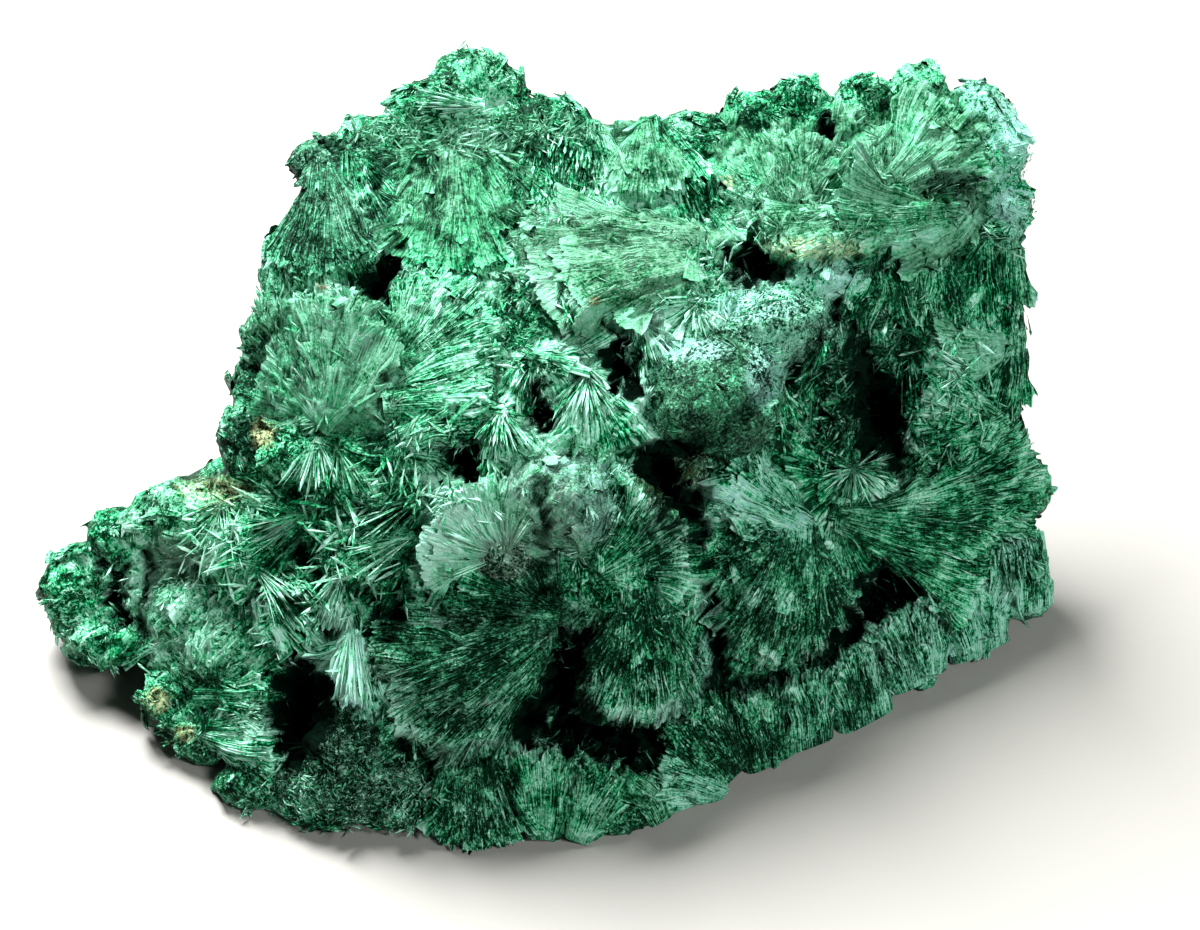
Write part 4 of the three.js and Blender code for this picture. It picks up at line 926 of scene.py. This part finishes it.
class Surface:
    """The massive body's surface: the CAD solid, evened out and given its grain."""

    def __init__(self, fans):
        source = bpy.data.objects.new("body_source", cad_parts[NODE].data.copy())
        bpy.context.scene.collection.objects.link(source)
        remesh = source.modifiers.new("remesh", "REMESH")
        remesh.mode = "VOXEL"
        remesh.voxel_size = VOXEL * MM
        even = source.modifiers.new("even", "SMOOTH")
        even.factor = 0.5
        even.iterations = 5
        depsgraph = bpy.context.evaluated_depsgraph_get()
        mesh = bpy.data.meshes.new_from_object(source.evaluated_get(depsgraph))
        bpy.data.objects.remove(source)
        count = len(mesh.vertices)
        points = np.zeros(count * 3)
        mesh.vertices.foreach_get("co", points)
        normals = np.zeros(count * 3)
        mesh.vertex_normals.foreach_get("vector", normals)
        mesh.calc_loop_triangles()
        triangles = np.zeros(len(mesh.loop_triangles) * 3, np.int32)
        mesh.loop_triangles.foreach_get("vertices", triangles)
        self.triangles = triangles.reshape(-1, 3)
        self.points = points.reshape(-1, 3) / MM
        self.normals = normals.reshape(-1, 3)
        self.seen = to_view(self.points)
        self.fill_gaps()
        u, v, w = self.seen
        below = face_depth(u, v) - w
        self.shown = (below < SHOW_DEPTH) & (self.normals @ TO_VIEWER > 0.0)
        show = smooth_step(SHOW_DEPTH + 2, SHOW_DEPTH - 2, below)
        self.follow_fans(fans)
        hidden = ~self.shown
        self.values[hidden] = LOOKS["skin"]
        outward = np.stack([noise.noise_vector(Vector(p * 0.12)) for p in self.points[hidden]])
        self.headings[hidden] = unit(outward + np.array([0.0, 0.0, -0.25]))
        self.take_lumps()
        ribs = np.array([noise.noise(Vector((a * 1.6, b * 0.25, c * 7.0))) for a, b, c in self.strand])
        self.grain = np.array([self.grain_height(p) for p in self.points])
        share = self.values[:, 6]
        self.grain = self.grain * (0.35 + 0.65 * share) + ribs * 1.1 * (1 - share)
        self.knobs = np.array([self.knob_height(p) for p in self.points])
        rise = show * (self.grain * 0.5 + 0.15) + (1 - show) * (self.knobs * 1.5 + self.grain * 0.12 - 0.5)
        self.show = show
        rise = rise + in_hollow(u, v, w) * (self.grain * 1.2)
        self.points = self.points + self.normals * rise[:, None]
        self.points[:, 2] = np.maximum(self.points[:, 2], 0.0)
        self.tree = kdtree.KDTree(count)
        for index, point in enumerate(self.points):
            self.tree.insert(point, index)
        self.tree.balance()

    def carries(self, fan):
        """Whether the rim of a fan stays close to the body, and so inside its outline."""
        for side in (-1.0, 0.0, 1.0):
            corner = fan.place(np.array(side), 1.0, fan.height(side, 1.0))
            _, _, far = self.tree.find(Vector(corner))
            if far > 0.9:
                return False
        return True

    def fill_gaps(self):
        """Raises the floor of the gaps between the fans, apart from the hollows."""
        u, v, w = self.seen
        below = face_depth(u, v) - w
        rough = np.array([noise.noise(Vector((a * 0.32, b * 0.32, 5.0))) for a, b in zip(u, v)])
        rough += 0.5 * np.array([noise.noise(Vector((a * 1.1, b * 1.1, 9.0))) for a, b in zip(u, v)])
        missing = np.maximum(0.0, below - (GAP_DEPTH + GAP_ROUGHNESS * rough))
        facing = smooth_step(0.1, 0.5, self.normals @ TO_VIEWER)
        w = w + missing * smooth_step(5.0, 3.2, below) * facing * ~in_hollow(u, v, w)
        self.points = from_view(u, v, w)
        self.seen = (u, v, w)

    def follow_fans(self, fans):
        """Each point takes the look and the fibre heading of the fan that it lies nearest to."""
        nearest = np.full(len(self.points), 1e9)
        self.strand = np.zeros_like(self.points)
        self.headings = np.zeros_like(self.points)
        self.values = np.zeros((len(self.points), RELIEF + 1))
        for index, fan in enumerate(fans):
            offset = self.points - fan.start
            along, across, over = offset @ fan.along, offset @ fan.across, offset @ fan.out
            reach = np.hypot(along, across)
            angle = np.arctan2(across, along)
            beside = np.maximum(0, np.abs(angle) - fan.spread) * np.maximum(reach, 1.0)
            beyond = np.maximum(0, reach - fan.length)
            far = np.hypot(beside, beyond) + 0.7 * np.abs(over)
            closer = far < nearest
            nearest[closer] = far[closer]
            self.strand[closer] = np.stack([angle * fan.length * 0.8, reach, np.full_like(reach, index)], -1)[closer]
            direction = np.cos(angle)[:, None] * fan.along + np.sin(angle)[:, None] * fan.across
            self.headings[closer] = direction[closer]
            self.values[closer] = fan.look
        # Painted shade: points far from every fan, in the gaps between the fans, are darker.
        self.values[:, 2] += 0.12 * smooth_step(1.0, 3.0, nearest)

    def take_lumps(self):
        nearest = np.full(len(self.points), 1.15)
        for _, (lu, lv, lift), half, name in LUMPS:
            middle = from_view(lu, lv, face_depth(lu, lv) + lift - half[2])
            offset = self.points - middle
            seen = np.stack([offset[:, 0], offset @ SEEN_UP, offset @ TO_VIEWER], -1) / np.array(half)
            far = np.linalg.norm(seen, axis=-1)
            closer = far < nearest
            nearest[closer] = far[closer]
            self.values[closer] = LOOKS[name]
            self.values[closer, 6] = np.maximum(self.values[closer, 6], 0.7)

    @staticmethod
    def grain_height(p):
        place = Vector(p)
        cells = noise.voronoi(place * 0.9)[0][0]
        fine = noise.noise(place * 1.6)
        return 0.5 - cells + 0.6 * fine

    @staticmethod
    def knob_height(p):
        place = Vector(p)
        bent = place + noise.noise_vector(place * 0.15) * 2.0
        large = noise.voronoi(bent * 0.16)[0][0]
        small = noise.voronoi(bent * 0.42 + Vector((7.0, 3.0, 1.0)))[0][0]
        return 0.8 * (1 - 1.6 * large**2) + 0.25 * (1 - 1.6 * small**2)

    def build(self, material):
        u, v, w = self.seen
        show = self.show[:, None]
        look = full_look(self.values, (len(u),)) * show + full_look(LOOKS["skin"], (len(u),)) * (1 - show)
        # Painted light and shade: grain peaks are paler and the valleys between them darker.
        height = self.show * self.grain + (1 - self.show) * (self.knobs - 0.5)
        look[:, 0] += 0.3 * height
        look[:, 2] -= 0.5 * height
        deep = in_hollow(u, v, w)
        # Painted shade: the surface inside the hollows is darker.
        look[deep, 2] += 0.45
        look[deep, GRAIN] = 1.0
        self.points = sunk_into_crevices(self.points, look)
        add_patches(self.points, look)
        self.points[:, 2] = np.maximum(self.points[:, 2], 0.0)
        return make_object("malachite_body", self.points, self.triangles, self.strand, look, True, material)


class Nodes:
    """Short calls for building a material's node tree."""

    def __init__(self, name):
        self.material = bpy.data.materials.new(name)
        self.material.use_nodes = True
        self.tree = self.material.node_tree
        self.tree.nodes.clear()

    def node(self, kind, **settings):
        made = self.tree.nodes.new(kind)
        for key, value in settings.items():
            setattr(made, key, value)
        return made

    def link(self, source, target):
        self.tree.links.new(source, target)

    def put(self, value, socket):
        if isinstance(value, bpy.types.NodeSocket):
            self.link(value, socket)
        else:
            socket.default_value = value

    def math(self, operation, first, second=0.0, clamp=False):
        made = self.node("ShaderNodeMath", operation=operation, use_clamp=clamp)
        self.put(first, made.inputs[0])
        self.put(second, made.inputs[1])
        return made.outputs[0]

    def scaled(self, vector, scale):
        made = self.node("ShaderNodeVectorMath", operation="MULTIPLY")
        self.link(vector, made.inputs[0])
        made.inputs[1].default_value = scale
        return made.outputs[0]

    def noise(self, vector, scale, detail=3.0, roughness=0.55, distortion=0.0):
        made = self.node("ShaderNodeTexNoise")
        self.link(vector, made.inputs["Vector"])
        made.inputs["Scale"].default_value = scale
        made.inputs["Detail"].default_value = detail
        made.inputs["Roughness"].default_value = roughness
        made.inputs["Distortion"].default_value = distortion
        return made.outputs["Fac"]

    def step(self, value, low, high):
        made = self.node("ShaderNodeMapRange", interpolation_type="SMOOTHSTEP")
        self.put(value, made.inputs["Value"])
        made.inputs["From Min"].default_value = low
        made.inputs["From Max"].default_value = high
        return made.outputs["Result"]

    def blend(self, share, first, second):
        made = self.node("ShaderNodeMix", data_type="FLOAT")
        self.put(share, made.inputs[0])
        self.put(first, made.inputs[2])
        self.put(second, made.inputs[3])
        return made.outputs[0]

    def mix(self, share, first, second):
        made = self.node("ShaderNodeMix", data_type="RGBA", clamp_factor=True)
        self.put(share, made.inputs[0])
        self.put(first, made.inputs[6])
        self.put(second, made.inputs[7])
        return made.outputs[2]

    def attribute(self, name):
        return self.node("ShaderNodeAttribute", attribute_name=name).outputs["Vector"]

    def parts(self, vector):
        made = self.node("ShaderNodeSeparateXYZ")
        self.link(vector, made.inputs[0])
        return made.outputs


DEEP = (0.0002, 0.015, 0.004, 1)
EMERALD = (0.0006, 0.13, 0.038, 1)
VIVID = (0.005, 0.42, 0.15, 1)
SAGE = (0.072, 0.29, 0.15, 1)
# GLINT and WHITE_MINT colour the painted glints.
GLINT = (0.13, 0.60, 0.36, 1)
MINT = (0.155, 0.58, 0.345, 1)
WHITE_MINT = (0.55, 0.92, 0.78, 1)
FROST = (0.31, 0.64, 0.57, 1)
GREY = (0.145, 0.25, 0.175, 1)
CREAM = (0.80, 0.80, 0.42, 1)
RUST = (0.20, 0.085, 0.035, 1)
BLACK = (0.0006, 0.003, 0.0013, 1)


def malachite_material():
    n = Nodes("malachite")
    place = n.node("ShaderNodeTexCoord").outputs["Object"]
    millimetres = n.scaled(place, (1000, 1000, 1000))
    strand = n.attribute("strand")
    pale, frost, dark = n.parts(n.attribute("tone"))
    grey, cream, rust = n.parts(n.attribute("stain"))
    grain = n.node("ShaderNodeAttribute", attribute_name="grain").outputs["Fac"]
    contrast = n.node("ShaderNodeAttribute", attribute_name="contrast").outputs["Fac"]
    strength = n.math("ADD", 0.45, n.math("MULTIPLY", contrast, 1.25))

    # Long streaks, fine fibres and short dashes along the crystals; the dashes also carry painted glints
    streak = n.noise(n.scaled(strand, (1.7, 0.14, 1.0)), 1.0, 4.0)
    fine = n.noise(n.scaled(strand, (6.5, 0.4, 1.0)), 1.0, 3.0, 0.6)
    dash = n.noise(n.scaled(strand, (5.4, 0.5, 3.0)), 1.0, 2.0, 0.6)
    # Wandering squiggles where the surface is a felt of small crystals
    squiggle = n.noise(millimetres, 2.6, 3.0, 0.6, 1.6)
    coarse = n.noise(millimetres, 0.9, 4.0, 0.6, 0.6)
    patch = n.noise(millimetres, 0.28, 5.0, 0.65)
    speck = n.noise(millimetres, 3.4, 3.0, 0.7)
    hue = n.noise(millimetres, 0.21, 4.0, 0.6)

    streak = n.blend(grain, streak, coarse)
    fine = n.blend(n.math("MULTIPLY", grain, 0.85), fine, squiggle)
    dash = n.blend(grain, dash, squiggle)

    wander = n.math("MULTIPLY", n.math("SUBTRACT", fine, 0.5), 3.4)
    for noise_value, share in ((streak, 2.0), (patch, 2.4), (speck, 1.8)):
        wander = n.math("ADD", wander, n.math("MULTIPLY", n.math("SUBTRACT", noise_value, 0.5), share))
    wander = n.math("MULTIPLY", wander, strength)
    level = n.math("ADD", pale, wander)
    greyish = n.math("ADD", hue, n.math("MULTIPLY", grey, 0.3))
    middle_green = n.mix(n.step(greyish, 0.50, 0.62), VIVID, SAGE)
    colour = n.mix(n.step(level, -0.15, 0.32), DEEP, EMERALD)
    colour = n.mix(n.step(level, 0.22, 0.66), colour, middle_green)
    pale_share = n.step(level, 0.5, 1.0)
    colour = n.mix(pale_share, colour, MINT)
    colour = n.mix(n.math("MULTIPLY", n.step(level, 0.95, 1.5), 0.8), colour, WHITE_MINT)
    along_fibres = n.math("ADD", n.math("MULTIPLY", dash, 0.6), n.math("MULTIPLY", speck, 0.4))
    near_grain = n.math("ADD", n.blend(grain, along_fibres, speck), n.math("MULTIPLY", wander, 0.35))
    colour = n.mix(n.math("MULTIPLY", grey, n.step(near_grain, 0.3, 0.62)), colour, GREY)
    frost_share = n.math("MULTIPLY", frost, n.step(near_grain, 0.34, 0.64))
    colour = n.mix(frost_share, colour, FROST)
    # Painted glints: sparse dashes coloured from green to white-mint, painted highlights of light caught by the
    # fibres.
    bright = n.math("MULTIPLY", n.step(dash, 0.575, 0.63), n.math("ADD", 0.62, n.math("MULTIPLY", pale, 0.3)))
    glint = n.math("ADD", 0.45, n.math("MULTIPLY", contrast, 0.55))
    glint_colour = n.mix(n.step(level, 0.1, 0.7), GLINT, WHITE_MINT)
    colour = n.mix(n.math("MULTIPLY", bright, glint), colour, glint_colour)
    colour = n.mix(n.math("MULTIPLY", cream, n.step(speck, 0.42, 0.56)), colour, CREAM)
    colour = n.mix(n.math("MULTIPLY", rust, n.step(speck, 0.4, 0.5)), colour, RUST)
    dark_share = n.math("ADD", dark, n.math("MULTIPLY", n.math("SUBTRACT", 0.5, dash), n.math("MULTIPLY", strength, 0.9)))
    dark_share = n.step(dark_share, 0.0, 0.9)
    colour = n.mix(dark_share, colour, BLACK)

    shader = n.node("ShaderNodeBsdfPrincipled")
    n.link(colour, shader.inputs["Base Color"])
    roughness = n.math("ADD", 0.33, n.math("MULTIPLY", pale_share, 0.22))
    roughness = n.math("ADD", roughness, n.math("MULTIPLY", dark_share, 0.3))
    roughness = n.math("ADD", roughness, n.math("MULTIPLY", grain, 0.12), clamp=True)
    n.link(roughness, shader.inputs["Roughness"])
    shader.inputs["IOR"].default_value = 1.5
    shader.inputs["Specular IOR Level"].default_value = 0.13
    shader.inputs["Specular Tint"].default_value = (0.15, 1.0, 0.6, 1)
    bump = n.node("ShaderNodeBump")
    bump.inputs["Strength"].default_value = 0.9
    bump.inputs["Distance"].default_value = 0.00014
    relief = n.math("ADD", fine, n.math("MULTIPLY", dash, 0.7))
    n.link(n.math("ADD", relief, n.math("MULTIPLY", speck, 0.35)), bump.inputs["Height"])
    n.link(bump.outputs["Normal"], shader.inputs["Normal"])
    output = n.node("ShaderNodeOutputMaterial")
    n.link(shader.outputs["BSDF"], output.inputs["Surface"])
    return n.material


def floor_material():
    n = Nodes("pale_floor")
    place = n.node("ShaderNodeTexCoord").outputs["Object"]
    shade = n.noise(place, 9.0, 4.0)
    shader = n.node("ShaderNodeBsdfPrincipled")
    n.link(n.mix(shade, (0.33, 0.32, 0.305, 1), (0.37, 0.36, 0.345, 1)), shader.inputs["Base Color"])
    shader.inputs["Roughness"].default_value = 0.6
    output = n.node("ShaderNodeOutputMaterial")
    n.link(shader.outputs["BSDF"], output.inputs["Surface"])
    return n.material


FAN_GROUPS = {
    "malachite_fans_back": 0,
    "malachite_fans_left": 0,
    "malachite_fans_right": 0,
    "malachite_fans_front": 0,
}


def group_of(row):
    u = (row[1][0] + row[2][0]) / 2
    v = (row[1][1] + row[2][1]) / 2
    if v > 14:
        return "malachite_fans_back"
    if v < -9:
        return "malachite_fans_front"
    return "malachite_fans_left" if u < 3 else "malachite_fans_right"


def build_malachite():
    material = malachite_material()
    fans = [main_fan(row) for row in SHEAVES]
    surface = Surface(fans)
    surface.build(material)

    groups = {name: Crystals() for name in FAN_GROUPS}
    loose = {name: Crystals() for name in (*NEEDLE_PIECES, LINING, "malachite_scales", "malachite_back_scales")}
    for index, (row, fan) in enumerate(zip(SHEAVES, fans)):
        rng = np.random.default_rng(1000 + index)
        crystals = groups[group_of(row)]
        fan.build(crystals, rng)
        fan_needles(loose["malachite_needles"], fan, rng)
        if fan.length > 5:
            for small in smaller_fans(fan, rng):
                small.build(crystals, rng, layers=1, coarse=1.3)
        for beside in side_fans(fan, rng):
            if row[-1] != "shaded" and row[2][0] < 29 and surface.carries(beside):
                beside.build(crystals, rng, layers=2, coarse=1.3)
    for index, row in enumerate(SPRAYS):
        radial_spray(loose["malachite_needles"], row, np.random.default_rng(2000 + index))
    for index, row in enumerate(FELTS):
        piece = LINING if row[5] in ("grains", "black") else "malachite_felt"
        felt(loose[piece], row, surface, np.random.default_rng(3000 + index))
    small_sprays(loose["malachite_felt"], surface, np.random.default_rng(4000))
    scales(loose["malachite_scales"], surface, np.random.default_rng(5000), True, SCALE_COUNT)
    scales(loose["malachite_back_scales"], surface, np.random.default_rng(5500), False, BACK_SCALE_COUNT)
    hollow_crystals(loose[LINING], surface, np.random.default_rng(6000))
    total = len(surface.triangles)
    for name, crystals in {**groups, **loose}.items():
        finish_crystals(name, crystals, material)
        found = sum(len(t) for t in crystals.triangles)
        total += found
        print("PIECE", name, found)
    print("PIECE body", len(surface.triangles), "total", total)


def build_floor():
    half = 0.9
    corners = [(-half, -half, 0), (half, -half, 0), (half, half, 0), (-half, half, 0)]
    mesh = bpy.data.meshes.new("floor")
    mesh.from_pydata(corners, [], [(0, 1, 2, 3)])
    mesh.materials.append(floor_material())
    floor = bpy.data.objects.new("floor", mesh)
    bpy.context.scene.collection.objects.link(floor)


def area_light(name, place, size, power, colour):
    """A square lamp, placed from the specimen's middle and turned towards it."""
    light = bpy.data.lights.new(name, "AREA")
    light.size = size
    light.energy = power
    light.color = colour
    lamp = bpy.data.objects.new(name, light)
    lamp.location = Vector(MIDDLE * MM) + Vector(place)
    lamp.rotation_mode = "QUATERNION"
    lamp.rotation_quaternion = (-Vector(place)).to_track_quat("-Z", "Y")
    bpy.context.scene.collection.objects.link(lamp)


def build_lights():
    area_light("key", (-0.12, 0.26, 0.34), 0.2, 8.0, (1.0, 1.0, 0.98))
    area_light("fill", (0.26, -0.22, 0.30), 0.09, 1.35, (0.96, 0.99, 0.96))
    world = bpy.data.worlds.new("studio")
    world.use_nodes = True
    background = world.node_tree.nodes["Background"]
    background.inputs["Color"].default_value = (0.9, 0.95, 0.9, 1)
    background.inputs["Strength"].default_value = 0.04
    bpy.context.scene.world = world
    bpy.context.scene.view_settings.view_transform = "Standard"


def build_camera():
    camera = bpy.data.cameras.new("camera")
    camera.lens = LENS
    camera.sensor_width = SENSOR_WIDTH
    camera.clip_start = 0.01
    camera.clip_end = 10
    viewer = bpy.data.objects.new("camera", camera)
    viewer.location = Vector((MIDDLE + TO_VIEWER * VIEW_DISTANCE) * MM)
    viewer.rotation_mode = "QUATERNION"
    viewer.rotation_quaternion = Vector(-TO_VIEWER).to_track_quat("-Z", "Y")
    bpy.context.scene.collection.objects.link(viewer)
    bpy.context.scene.camera = viewer


build_malachite()
build_floor()
build_lights()
build_camera()
